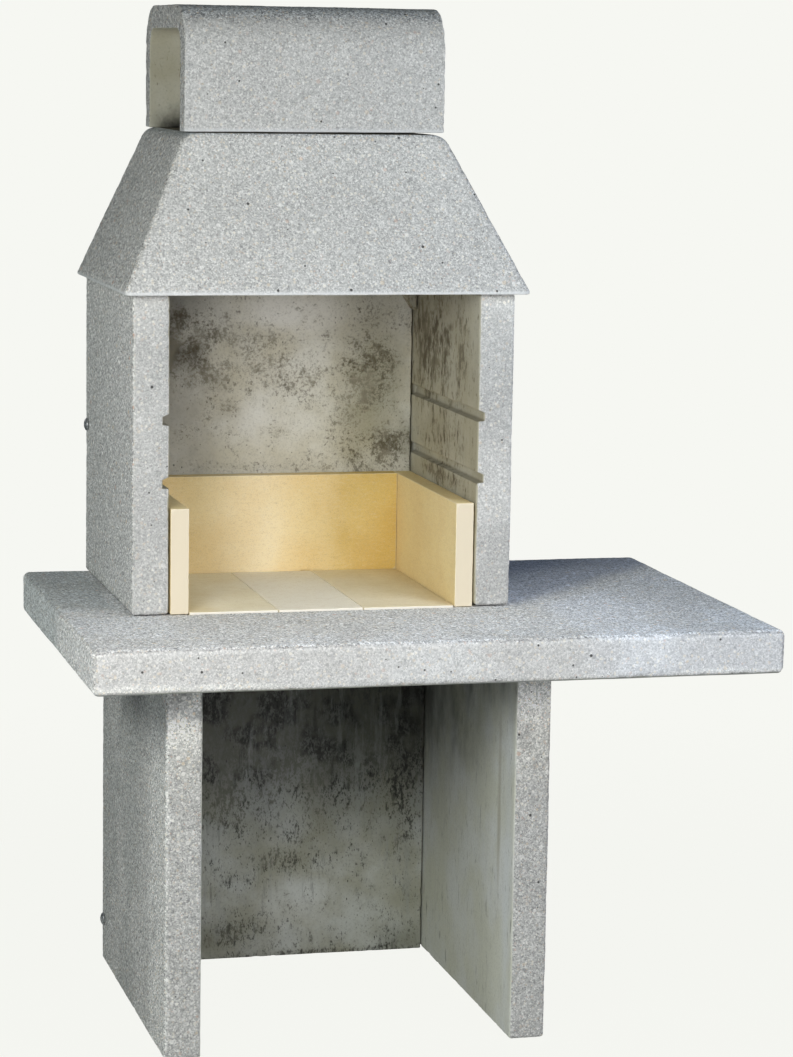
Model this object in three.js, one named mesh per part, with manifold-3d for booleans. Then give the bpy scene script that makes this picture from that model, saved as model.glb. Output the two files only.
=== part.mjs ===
// Outdoor masonry barbecue made of cast concrete elements.
// Millimetres, +Z up. The origin lies on the ground, under the middle of the worktop slab.
// +X points to the side shelf, -Y to the cook, +Y to the rear.

import * as THREE from 'three';
import { RoundedBoxGeometry } from 'three/addons/geometries/RoundedBoxGeometry.js';
import { mergeVertices } from 'three/addons/utils/BufferGeometryUtils.js';
import Module from 'manifold-3d';

const wasm = await Module();
wasm.setup();

// Worktop slab
const tableWidth = 1195;
const tableDepth = 823;
const tableThickness = 77;
const tableEdgeRadius = 12;

// Base: two side walls and a rear panel, with an open wood store between them
const baseWidth = 680;
const baseDepth = 655;
const baseHeight = 671;
const baseWallThickness = 65;
const basePanelThickness = 55;
const baseSetInLeft = 150;

// Hearth: two grooved side walls and a rear panel, standing on the slab
const hearthWidth = 676;
const hearthDepth = 507;
const hearthHeight = 552;
const hearthWallThickness = 65;
const hearthPanelThickness = 55;
const hearthSetInLeft = 117;

// The rear faces of the base and of the hearth line up, this far inside the slab's rear edge
const rearSetIn = 5;

// Joints and edges of the wall elements
const wallEdgeRadius = 7;
const panelEdgeRadius = 3;
const panelJoint = 1.5;

// Grate grooves in the hearth walls: a flat ledge below and a flared upper flank
const grooveDepth = 11;
const grooveMouthHeight = 20;
const grooveFloorHeight = 15;
const grooveLift = 219;
const grooveSpacing = 109;
const grooveCount = 2;

// Firebrick lining
const boardThickness = 32.4;
const boardHeight = 184;
const boardEdgeRadius = 1.5;
const boardWallGap = 3;
const boardFrontSetIn = 3.5;
const boardJoint = 1;
const middlePlateWidth = 151;
const middlePlateShift = -3;
const floorRecessDepth = 29;

// Smoke hood: a hollow pyramid with an upright lip at its foot
const hoodSideOverhang = 18.5;
const hoodFrontOverhang = 31;
const hoodRearSetIn = 6;
const hoodHeight = 270;
const hoodLipHeight = 6;
const hoodTopWidth = 465;
const hoodTopDepth = 387;
const hoodRearLean = 12;
const hoodWall = 45;
const hoodCornerRadius = 12;
const hoodInnerCornerRadius = 20;
const hoodFootRadius = 2;
const hoodSideShoulderRadius = 28;
const hoodFrontShoulderRadius = 8;

// Locating lugs cast under the hood's rear corners
const lugDrop = 63;
const lugTopWidth = 48;
const lugTipWidth = 6;
const lugThickness = 30;
const lugRootHeight = 60;

// Chimney cap: an inverted U, open at both ends
const capHeight = 219;
const capShell = 42;
const capOuterRadius = 75;
const capSetIn = 4;
const capEdgeRadius = 3.5;

// Fixings: hexagon bolts through the side walls into threaded sleeves in the rear panels
const boltShankRadius = 6;
const boltHeadAcrossFlats = 18;
const boltHeadHeight = 7.5;
const boltGrip = 32;
const washerRadius = 12;
const washerThickness = 2.5;
const sleeveRadius = 9;
const sleeveLength = 60;
const sleeveBoreDepth = 42;
const baseBoltEndDistance = 84;

// Clearances
const looseFit = 0.5;
const touchGap = 0.3;

// How far every cutting tool runs past the solid it cuts
const overrun = 20;

// Facets
const edgeSegments = 2;
const cornerSteps = 5;
const shoulderSteps = 6;
const archSegments = 10;
const roundSides = 24;

// Levels and planes worked out from the sizes above
const worktopLevel = baseHeight + tableThickness;
const hoodLevel = worktopLevel + hearthHeight;
const capLevel = hoodLevel + hoodHeight;
const tableLeft = -tableWidth / 2;
const rearPlane = tableDepth / 2 - rearSetIn;
const baseMiddle = tableLeft + baseSetInLeft + baseWidth / 2;
const hearthMiddle = tableLeft + hearthSetInLeft + hearthWidth / 2;
const hearthFront = rearPlane - hearthDepth;
const hearthOpening = hearthWidth - 2 * hearthWallThickness;
const hearthPanelFront = rearPlane - hearthPanelThickness;
const LEFT = -1;
const RIGHT = 1;

// Materials
const washedConcrete = new THREE.MeshStandardMaterial({
  color: 0xb9bbb8,
  roughness: 0.92,
  metalness: 0,
});
const slabConcrete = new THREE.MeshStandardMaterial({
  color: 0xaeb3b3,
  roughness: 0.88,
  metalness: 0,
});
const castConcrete = new THREE.MeshStandardMaterial({
  color: 0x86857a,
  roughness: 0.85,
  metalness: 0,
});
const firebrick = new THREE.MeshStandardMaterial({
  color: 0xe2d0a0,
  roughness: 0.9,
  metalness: 0,
});
const firebrickRear = new THREE.MeshStandardMaterial({
  color: 0xdcb768,
  roughness: 0.9,
  metalness: 0,
});
const zincSteel = new THREE.MeshStandardMaterial({
  color: 0xb4b8bc,
  roughness: 0.35,
  metalness: 1,
});

// Solids and geometry

function toSolid(geometry, matrix = new THREE.Matrix4()) {
  const plain = geometry.clone().applyMatrix4(matrix);
  plain.deleteAttribute('normal');
  plain.deleteAttribute('uv');
  const merged = mergeVertices(plain);
  return new wasm.Manifold(new wasm.Mesh({
    numProp: 3,
    vertProperties: merged.attributes.position.array,
    triVerts: new Uint32Array(merged.index.array),
  }));
}

function toGeometry(solid) {
  const mesh = solid.getMesh();
  const geometry = new THREE.BufferGeometry();
  geometry.setAttribute('position', new THREE.BufferAttribute(mesh.vertProperties, 3));
  geometry.setIndex(new THREE.BufferAttribute(mesh.triVerts, 1));
  geometry.computeVertexNormals();
  return geometry;
}

function moved(x, y, z) {
  return new THREE.Matrix4().makeTranslation(x, y, z);
}

function block(width, depth, height, radius) {
  return new RoundedBoxGeometry(width, depth, height, edgeSegments, radius);
}

// A prism along X, from an outline drawn in the Y-Z plane
function prismAlongX(shape, length, curveSegments) {
  const settings = { depth: length, bevelEnabled: false, curveSegments };
  const geometry = new THREE.ExtrudeGeometry(shape, settings);
  const axes = new THREE.Matrix4().makeBasis(
    new THREE.Vector3(0, 1, 0),
    new THREE.Vector3(0, 0, 1),
    new THREE.Vector3(1, 0, 0),
  );
  return geometry.applyMatrix4(axes);
}

// A prism along Y, from an outline drawn in the X-Z plane
function prismAlongY(shape, length) {
  const geometry = new THREE.ExtrudeGeometry(shape, { depth: length, bevelEnabled: false });
  const axes = new THREE.Matrix4().makeBasis(
    new THREE.Vector3(1, 0, 0),
    new THREE.Vector3(0, 0, 1),
    new THREE.Vector3(0, -1, 0),
  );
  return geometry.applyMatrix4(axes);
}

// A round bar along X, centred on the origin
function barAlongX(radius, length, sides = roundSides) {
  return new THREE.CylinderGeometry(radius, radius, length, sides).rotateZ(Math.PI / 2);
}

function outline(points) {
  return new THREE.Shape(points.map(([x, y]) => new THREE.Vector2(x, y)));
}

const part = new THREE.Group();

function addPiece(name, geometry, material, x, y, z, parent = part) {
  const mesh = new THREE.Mesh(geometry, material);
  mesh.name = name;
  mesh.position.set(x, y, z);
  parent.add(mesh);
}

// Fixings. Each bolt line lies at the middle of its panel's thickness.

const baseBoltPlane = rearPlane - basePanelThickness / 2;
const hearthBoltPlane = rearPlane - hearthPanelThickness / 2;
const baseBoltLevels = [baseBoltEndDistance, baseHeight - baseBoltEndDistance];
const hearthBoltLevels = [worktopLevel + hearthHeight / 2];

function boltGeometry(wallThickness) {
  const shankLength = touchGap + washerThickness + touchGap + wallThickness + panelJoint + boltGrip;
  const headCorner = boltHeadAcrossFlats / Math.sqrt(3);
  const head = barAlongX(headCorner, boltHeadHeight, 6);
  const shank = barAlongX(boltShankRadius, shankLength + boltHeadHeight / 2);
  const headSolid = toSolid(head, moved(-boltHeadHeight / 2, 0, 0));
  const shankMiddle = shankLength / 2 - boltHeadHeight / 4;
  return toGeometry(headSolid.add(toSolid(shank, moved(shankMiddle, 0, 0))));
}

function washerGeometry() {
  const bore = boltShankRadius + looseFit;
  const profile = outline([[bore, 0], [washerRadius, 0], [washerRadius, washerThickness],
    [bore, washerThickness], [bore, 0]]);
  return new THREE.LatheGeometry(profile.getPoints(), roundSides).rotateZ(-Math.PI / 2);
}

function sleeveGeometry() {
  const body = toSolid(barAlongX(sleeveRadius, sleeveLength), moved(sleeveLength / 2, 0, 0));
  const boreLength = sleeveBoreDepth + overrun;
  const boreMiddle = sleeveBoreDepth - boreLength / 2;
  const bore = toSolid(barAlongX(boltShankRadius + looseFit, boreLength), moved(boreMiddle, 0, 0));
  return toGeometry(body.subtract(bore));
}

// One bolt, washer and sleeve. Their group's X axis points into the wall from outside.
function addFixing(name, wallThickness, side, outerFace, plane, level) {
  const group = new THREE.Group();
  group.position.set(outerFace, plane, level);
  group.rotation.z = side === LEFT ? 0 : Math.PI;
  part.add(group);
  const underHead = -touchGap - washerThickness - touchGap;
  const sleeveStart = wallThickness + panelJoint + touchGap;
  addPiece(`${name}_bolt`, boltGeometry(wallThickness), zincSteel, underHead, 0, 0, group);
  addPiece(`${name}_washer`, washerGeometry(), zincSteel, -touchGap - washerThickness, 0, 0, group);
  addPiece(`${name}_sleeve`, sleeveGeometry(), zincSteel, sleeveStart, 0, 0, group);
}

// Side walls. Their bolt holes run right through.

function wallGeometry(thickness, depth, height, boltOffset, boltLevels, grooves) {
  let wall = toSolid(block(thickness, depth, height, wallEdgeRadius), moved(0, 0, height / 2));
  const hole = barAlongX(boltShankRadius + looseFit, thickness + overrun);
  for (const level of boltLevels) {
    wall = wall.subtract(toSolid(hole, moved(0, boltOffset, level)));
  }
  for (const groove of grooves) {
    wall = wall.subtract(groove);
  }
  return toGeometry(wall);
}

// One grate groove for the wall on the given side, cut from its inner face
function grooveSolid(side, level) {
  const inner = -side * hearthWallThickness / 2;
  const deep = inner + side * grooveDepth;
  const outside = inner - side * overrun;
  const flare = grooveMouthHeight + (grooveMouthHeight - grooveFloorHeight) * overrun / grooveDepth;
  const points = [[outside, 0], [deep, 0], [deep, grooveFloorHeight], [outside, flare]];
  const shape = outline(side === LEFT ? points.reverse() : points);
  const length = hearthDepth + 2 * overrun;
  return toSolid(prismAlongY(shape, length), moved(0, length / 2, level));
}

function addBaseWall(name, side) {
  const middleX = baseMiddle + side * (baseWidth - baseWallThickness) / 2;
  const middleY = rearPlane - baseDepth / 2;
  const geometry = wallGeometry(baseWallThickness, baseDepth, baseHeight,
    baseBoltPlane - middleY, baseBoltLevels, []);
  addPiece(name, geometry, washedConcrete, middleX, middleY, 0);
}

function addHearthWall(name, side) {
  const middleX = hearthMiddle + side * (hearthWidth - hearthWallThickness) / 2;
  const middleY = rearPlane - hearthDepth / 2;
  const boltLevels = hearthBoltLevels.map((level) => level - worktopLevel);
  const grooves = [];
  for (let index = 0; index < grooveCount; index += 1) {
    grooves.push(grooveSolid(side, grooveLift + index * grooveSpacing));
  }
  const geometry = wallGeometry(hearthWallThickness, hearthDepth, hearthHeight,
    hearthBoltPlane - middleY, boltLevels, grooves);
  addPiece(name, geometry, washedConcrete, middleX, middleY, worktopLevel);
}

// Rear panels. A blind hole in each end holds the sleeves that are cast in there.

function panelGeometry(width, thickness, height, boltLevels) {
  const body = block(width, thickness, height, panelEdgeRadius);
  let panel = toSolid(body, moved(0, 0, height / 2));
  const holeDepth = touchGap + sleeveLength + touchGap;
  const holeLength = holeDepth + overrun;
  const hole = barAlongX(sleeveRadius + touchGap, holeLength);
  for (const side of [LEFT, RIGHT]) {
    const holeMiddle = side * (width / 2 - holeDepth + holeLength / 2);
    for (const level of boltLevels) {
      panel = panel.subtract(toSolid(hole, moved(holeMiddle, 0, level)));
    }
  }
  return toGeometry(panel);
}

function addPanels() {
  const baseOpening = baseWidth - 2 * baseWallThickness;
  addPiece('base_back_panel',
    panelGeometry(baseOpening - 2 * panelJoint, basePanelThickness, baseHeight, baseBoltLevels),
    castConcrete, baseMiddle, baseBoltPlane, 0);
  const boltLevels = hearthBoltLevels.map((level) => level - worktopLevel);
  addPiece('hearth_back_panel',
    panelGeometry(hearthOpening - 2 * panelJoint, hearthPanelThickness, hearthHeight, boltLevels),
    castConcrete, hearthMiddle, hearthBoltPlane, worktopLevel);
}

// Firebrick lining: boards stand on the slab, floor plates lie in the slab's recess

const liningFront = hearthFront + boardFrontSetIn;
const sideBoardDepth = hearthPanelFront - boardWallGap - liningFront;
const floorWidth = hearthOpening - 2 * (boardWallGap + boardThickness);
const floorDepth = sideBoardDepth - boardThickness - boardJoint;

function addSideBoard(name, side) {
  const reach = hearthOpening / 2 - boardWallGap - boardThickness / 2;
  const geometry = block(boardThickness, sideBoardDepth, boardHeight, boardEdgeRadius);
  addPiece(name, geometry, firebrick, hearthMiddle + side * reach,
    liningFront + sideBoardDepth / 2, worktopLevel + boardHeight / 2);
}

function addBackBoard() {
  const width = floorWidth - 2 * boardJoint;
  const geometry = block(width, boardThickness, boardHeight, boardEdgeRadius);
  addPiece('back_firebrick', geometry, firebrickRear, hearthMiddle,
    hearthPanelFront - boardWallGap - boardThickness / 2, worktopLevel + boardHeight / 2);
}

function addFloorPlate(name, left, right) {
  const geometry = block(right - left, floorDepth, boardThickness, boardEdgeRadius);
  addPiece(name, geometry, firebrick, hearthMiddle + (left + right) / 2,
    liningFront + floorDepth / 2, worktopLevel - floorRecessDepth + boardThickness / 2);
}

function addFloor() {
  const middleLeft = middlePlateShift - middlePlateWidth / 2;
  const middleRight = middlePlateShift + middlePlateWidth / 2;
  const end = floorWidth / 2 - boardJoint;
  addFloorPlate('floor_firebrick_left', -end, middleLeft - boardJoint);
  addFloorPlate('floor_firebrick_middle', middleLeft, middleRight);
  addFloorPlate('floor_firebrick_right', middleRight + boardJoint, end);
}

// Worktop slab, with the shallow recess that seats the floor plates

function addTabletop() {
  const slab = toSolid(block(tableWidth, tableDepth, tableThickness, tableEdgeRadius));
  const recess = new THREE.BoxGeometry(floorWidth, floorDepth + 2 * looseFit,
    floorRecessDepth + overrun);
  const middleY = liningFront + floorDepth / 2;
  const middleZ = tableThickness / 2 - floorRecessDepth + (floorRecessDepth + overrun) / 2;
  const geometry = toGeometry(slab.subtract(toSolid(recess, moved(hearthMiddle, middleY, middleZ))));
  addPiece('tabletop', geometry, slabConcrete, 0, 0, baseHeight + tableThickness / 2);
}

// Smoke hood. Level rings of points run up the outside and back down the inside.

const hoodBottomWidth = hearthWidth + 2 * hoodSideOverhang;
const hoodFrontFoot = hearthFront - hoodFrontOverhang;
const hoodRearFoot = rearPlane - hoodRearSetIn;
const hoodRearTop = hoodRearFoot - hoodRearLean;
const hoodFrontTop = hoodRearTop - hoodTopDepth;
const hoodSlopeHeight = hoodHeight - hoodLipHeight;
const hoodSideTotal = (hoodBottomWidth - hoodTopWidth) / 2;
const hoodFrontTotal = hoodFrontTop - hoodFrontFoot;

// How far a face has moved in at a given height: up its slope, then round its shoulder
function faceInset(total, shoulder, height) {
  if (height <= hoodLipHeight) return 0;
  const lean = Math.atan2(total, hoodSlopeHeight);
  const centreHeight = hoodHeight - shoulder;
  if (height <= centreHeight + shoulder * Math.sin(lean)) {
    return (height - hoodLipHeight) * Math.tan(lean);
  }
  const tangent = shoulder * (1 - Math.sin(lean)) / Math.cos(lean);
  const centreInset = total + tangent;
  const rise = Math.min(height - centreHeight, shoulder);
  return centreInset - Math.sqrt(shoulder * shoulder - rise * rise);
}

// A level ring with rounded corners, as points run anticlockwise from the right front
function levelRing(left, right, front, rear, radius, z) {
  const corners = [
    [right - radius, front + radius, -Math.PI / 2],
    [right - radius, rear - radius, 0],
    [left + radius, rear - radius, Math.PI / 2],
    [left + radius, front + radius, Math.PI],
  ];
  const points = [];
  for (const [x, y, start] of corners) {
    for (let step = 0; step <= cornerSteps; step += 1) {
      const angle = start + Math.PI / 2 * step / cornerSteps;
      points.push([x + radius * Math.cos(angle), y + radius * Math.sin(angle), z]);
    }
  }
  return points;
}

function hoodOuterRing(height) {
  const side = hoodBottomWidth / 2 - faceInset(hoodSideTotal, hoodSideShoulderRadius, height);
  const front = hoodFrontFoot + faceInset(hoodFrontTotal, hoodFrontShoulderRadius, height);
  const rear = hoodRearFoot - faceInset(hoodRearLean, hoodFrontShoulderRadius, height);
  const foot = Math.max(hoodFootRadius - height, 0);
  const tuck = hoodFootRadius - Math.sqrt(hoodFootRadius * hoodFootRadius - foot * foot);
  return levelRing(-side + tuck, side - tuck, front + tuck, rear - tuck, hoodCornerRadius, height);
}

function hoodInnerRing(share) {
  const width = THREE.MathUtils.lerp(hoodBottomWidth, hoodTopWidth, share) - 2 * hoodWall;
  const front = THREE.MathUtils.lerp(hoodFrontFoot, hoodFrontTop, share) + hoodWall;
  const rear = THREE.MathUtils.lerp(hoodRearFoot, hoodRearTop, share) - hoodWall;
  const height = hoodHeight * share;
  return levelRing(-width / 2, width / 2, front, rear, hoodInnerCornerRadius, height);
}

// Heights of the outer rings: foot rounding, lip, slope and shoulder
function hoodRingHeights() {
  const heights = [0, hoodFootRadius / 2, hoodFootRadius, hoodLipHeight];
  for (const shoulder of [hoodSideShoulderRadius, hoodFrontShoulderRadius]) {
    for (let step = 0; step < shoulderSteps; step += 1) {
      const angle = Math.PI / 2 * step / shoulderSteps;
      heights.push(hoodHeight - shoulder + shoulder * Math.sin(angle));
    }
  }
  heights.push(hoodHeight);
  return heights.sort((low, high) => low - high);
}

// Closed surface through rings that lead back to the first one
function ringedSurface(rings) {
  const count = rings[0].length;
  const index = [];
  for (let ring = 0; ring < rings.length; ring += 1) {
    const next = (ring + 1) % rings.length;
    for (let point = 0; point < count; point += 1) {
      const beside = (point + 1) % count;
      const a = ring * count + point;
      const b = ring * count + beside;
      const c = next * count + beside;
      const d = next * count + point;
      index.push(a, b, c, a, c, d);
    }
  }
  const geometry = new THREE.BufferGeometry();
  geometry.setAttribute('position', new THREE.Float32BufferAttribute(rings.flat(2), 3));
  geometry.setIndex(index);
  return geometry;
}

// An outline on the right side of the hood, mirrored where it is for the left side
function sidedOutline(side, points) {
  const sided = points.map(([x, z]) => [side * x, z]);
  return outline(side === LEFT ? sided.reverse() : sided);
}

// A lug's tongue hangs inside the hearth wall, and its root fills the hood's corner above it
function lugSolids(side) {
  const wallInner = hearthOpening / 2 - panelJoint;
  const rootInner = wallInner - lugTopWidth;
  const rear = hearthPanelFront - panelJoint;
  const tongue = sidedOutline(side, [
    [wallInner - lugTipWidth, -lugDrop],
    [wallInner, -lugDrop],
    [wallInner, lugRootHeight],
    [rootInner, lugRootHeight],
    [rootInner, 0],
  ]);
  const midWall = hoodBottomWidth / 2 - hoodWall / 2;
  const root = sidedOutline(side, [
    [rootInner, 0],
    [midWall, 0],
    [midWall - faceInset(hoodSideTotal, hoodSideShoulderRadius, lugRootHeight), lugRootHeight],
    [rootInner, lugRootHeight],
  ]);
  const rootRear = hoodRearFoot - hoodWall / 2;
  const rootDepth = rootRear - rear + lugThickness;
  return [
    toSolid(prismAlongY(tongue, lugThickness), moved(0, rear, 0)),
    toSolid(prismAlongY(root, rootDepth), moved(0, rootRear, 0)),
  ];
}

function addHood() {
  const outer = hoodRingHeights().map((height) => hoodOuterRing(height));
  let hood = toSolid(ringedSurface([...outer, hoodInnerRing(1), hoodInnerRing(0)]));
  for (const side of [LEFT, RIGHT]) {
    for (const lug of lugSolids(side)) {
      hood = hood.add(lug);
    }
  }
  addPiece('hood', toGeometry(hood), washedConcrete, hearthMiddle, 0, hoodLevel);
}

// Chimney cap

function capOutline() {
  const half = (hoodTopDepth - 2 * capSetIn) / 2;
  const innerHalf = half - capShell;
  const innerTop = capHeight - capShell;
  const innerRadius = capOuterRadius - capShell;
  const shape = new THREE.Shape();
  shape.moveTo(half - capEdgeRadius, 0);
  shape.absarc(half - capEdgeRadius, capEdgeRadius, capEdgeRadius, -Math.PI / 2, 0, false);
  shape.absarc(half - capOuterRadius, capHeight - capOuterRadius, capOuterRadius, 0,
    Math.PI / 2, false);
  shape.absarc(-half + capOuterRadius, capHeight - capOuterRadius, capOuterRadius, Math.PI / 2,
    Math.PI, false);
  shape.absarc(-half + capEdgeRadius, capEdgeRadius, capEdgeRadius, Math.PI, Math.PI * 3 / 2,
    false);
  shape.lineTo(-innerHalf, 0);
  shape.absarc(-innerHalf + innerRadius, innerTop - innerRadius, innerRadius, Math.PI,
    Math.PI / 2, true);
  shape.absarc(innerHalf - innerRadius, innerTop - innerRadius, innerRadius, Math.PI / 2, 0,
    true);
  shape.lineTo(innerHalf, 0);
  return shape;
}

function addChimneyCap() {
  const geometry = prismAlongX(capOutline(), hoodTopWidth, archSegments);
  const middleY = (hoodFrontTop + hoodRearTop) / 2;
  addPiece('chimney_cap', geometry, washedConcrete, hearthMiddle - hoodTopWidth / 2, middleY,
    capLevel);
}

// Assembly, from the ground up

addBaseWall('base_wall_left', LEFT);
addBaseWall('base_wall_right', RIGHT);
addTabletop();
addHearthWall('hearth_wall_left', LEFT);
addHearthWall('hearth_wall_right', RIGHT);
addPanels();
addSideBoard('side_firebrick_left', LEFT);
addSideBoard('side_firebrick_right', RIGHT);
addBackBoard();
addFloor();
addHood();
addChimneyCap();

for (const [sideName, side] of [['left', LEFT], ['right', RIGHT]]) {
  const baseFace = baseMiddle + side * baseWidth / 2;
  const hearthFace = hearthMiddle + side * hearthWidth / 2;
  baseBoltLevels.forEach((level, index) => {
    const name = `base_${sideName}_${index === 0 ? 'lower' : 'upper'}`;
    addFixing(name, baseWallThickness, side, baseFace, baseBoltPlane, level);
  });
  hearthBoltLevels.forEach((level) => {
    const name = `hearth_${sideName}`;
    addFixing(name, hearthWallThickness, side, hearthFace, hearthBoltPlane, level);
  });
}

export default part;
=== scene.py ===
import math

import bpy
import numpy as np
from mathutils import Matrix, Vector


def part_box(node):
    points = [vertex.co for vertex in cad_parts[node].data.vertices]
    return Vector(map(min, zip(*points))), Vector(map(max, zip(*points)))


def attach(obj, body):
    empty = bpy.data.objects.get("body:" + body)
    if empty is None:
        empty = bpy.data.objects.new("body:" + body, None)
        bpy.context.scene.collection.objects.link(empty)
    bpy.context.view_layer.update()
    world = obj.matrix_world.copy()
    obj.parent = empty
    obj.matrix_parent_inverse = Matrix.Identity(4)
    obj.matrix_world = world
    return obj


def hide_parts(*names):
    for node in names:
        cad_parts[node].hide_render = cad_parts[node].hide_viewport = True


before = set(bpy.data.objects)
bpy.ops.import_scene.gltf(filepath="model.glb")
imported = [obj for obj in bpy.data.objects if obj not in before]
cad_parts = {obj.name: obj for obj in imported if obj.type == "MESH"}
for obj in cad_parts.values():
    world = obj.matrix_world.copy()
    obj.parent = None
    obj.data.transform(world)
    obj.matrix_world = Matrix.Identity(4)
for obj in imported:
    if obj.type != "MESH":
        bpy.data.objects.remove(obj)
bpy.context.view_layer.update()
scene = bpy.context.scene


# Studio
# A pale floor that fades into a pale backdrop, soft lights to the left, right and above, and the camera where
# the photographer stood. None of it belongs to the barbecue.

VIEWPOINT = Vector((-1.42304, -5.51958, 1.72058))
VIEW_RIGHT = Vector((0.96794123, -0.25065246, 0.01622095))
VIEW_UP = Vector((0.02146929, 0.14690537, 0.98891753))
VIEW_AHEAD = Vector((0.25025756, 0.9568658, -0.1475771))

lens = bpy.data.cameras.new("studio_camera")
lens.sensor_width = 36.0
lens.lens = 110.494
lens.shift_x = -0.00403
lens.shift_y = 0.00291
camera = bpy.data.objects.new("studio_camera", lens)
scene.collection.objects.link(camera)
camera.matrix_world = Matrix((
    (VIEW_RIGHT.x, VIEW_UP.x, -VIEW_AHEAD.x, VIEWPOINT.x),
    (VIEW_RIGHT.y, VIEW_UP.y, -VIEW_AHEAD.y, VIEWPOINT.y),
    (VIEW_RIGHT.z, VIEW_UP.z, -VIEW_AHEAD.z, VIEWPOINT.z),
    (0.0, 0.0, 0.0, 1.0),
))
scene.camera = camera
scene.view_settings.view_transform = "Standard"

LIGHTS_AIM = Vector((-0.1, 0.0, 0.9))
WHITE = (1.0, 1.0, 1.0)
# place, size, power, colour
SOFT_LIGHTS = {
    "left_front": ((-1.5, -2.6, 1.7), 0.6, 21.6, WHITE),
    "left_high": ((-2.07, -2.36, 2.1), 0.6, 16.0, (0.94, 1.0, 0.84)),
    "left_low": ((-3.0, -0.88, 0.45), 0.6, 8.2, (0.86, 0.90, 1.0)),
    "left_face": ((-2.0, 0.3, 0.9), 0.6, 2.7, (0.88, 1.0, 0.92)),
    "left_close": ((-0.9, -0.9, 1.2), 0.5, 3.0, (1.0, 0.98, 1.0)),
    "middle_high": ((0.42, -3.05, 2.1), 0.6, 7.8, (1.0, 0.90, 0.70)),
    "right_front": ((1.17, -2.82, 1.2), 0.6, 17.6, (0.94, 0.93, 1.0)),
    "right_near": ((0.8, -1.1, 1.7), 0.6, 7.8, (0.76, 0.86, 1.0)),
    "rear_left": ((-1.8, 2.6, 2.2), 1.5, 4.9, WHITE),
    "rear_right": ((1.9, 2.4, 1.8), 1.5, 3.5, WHITE),
    "rear_face": ((0.2, 3.2, 0.80), 1.2, 11.0, WHITE),
    "right_face": ((2.8, 0.4, 0.75), 0.8, 5.0, WHITE),
}


def soft_light(name, place, size, power, colour, aim=LIGHTS_AIM):
    softbox = bpy.data.lights.new(name, "AREA")
    softbox.shape = "SQUARE"
    softbox.size = size
    softbox.energy = power
    softbox.color = colour
    lamp = bpy.data.objects.new(name, softbox)
    lamp.location = place
    lamp.rotation_mode = "QUATERNION"
    lamp.rotation_quaternion = (aim - Vector(place)).to_track_quat("-Z", "Y")
    lamp.visible_camera = False
    scene.collection.objects.link(lamp)
    return softbox


for name, (place, size, power, colour) in SOFT_LIGHTS.items():
    soft_light(name, place, size, power, colour)
strip = soft_light("slab_strip", (-0.05, -0.48, 1.25), 1.0, 0.43, (1.0, 0.97, 0.94), Vector((-0.1, -0.2, 0.75)))
strip.shape = "RECTANGLE"
strip.size_y = 0.12
strip.spread = math.radians(80)


def reckon(operation, *values):
    """A Math node on wires and numbers."""
    tree = next(value.socket.id_data for value in values if isinstance(value, Wire))
    step = tree.nodes.new("ShaderNodeMath")
    step.operation = operation
    Recipe(tree).fill(step, dict(enumerate(values)))
    return Wire(step.outputs[0])


class Wire:
    """A socket of a node tree. Arithmetic on it adds the Math nodes, so shader maths reads as plain sums."""

    def __init__(self, socket):
        self.socket = socket

    def __add__(self, other):
        return reckon("ADD", self, other)

    def __radd__(self, other):
        return reckon("ADD", other, self)

    def __sub__(self, other):
        return reckon("SUBTRACT", self, other)

    def __rsub__(self, other):
        return reckon("SUBTRACT", other, self)

    def __mul__(self, other):
        return reckon("MULTIPLY", self, other)

    def __rmul__(self, other):
        return reckon("MULTIPLY", other, self)

    def __truediv__(self, other):
        return reckon("DIVIDE", self, other)

    def __gt__(self, other):
        return reckon("GREATER_THAN", self, other)

    def __lt__(self, other):
        return reckon("LESS_THAN", self, other)


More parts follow.
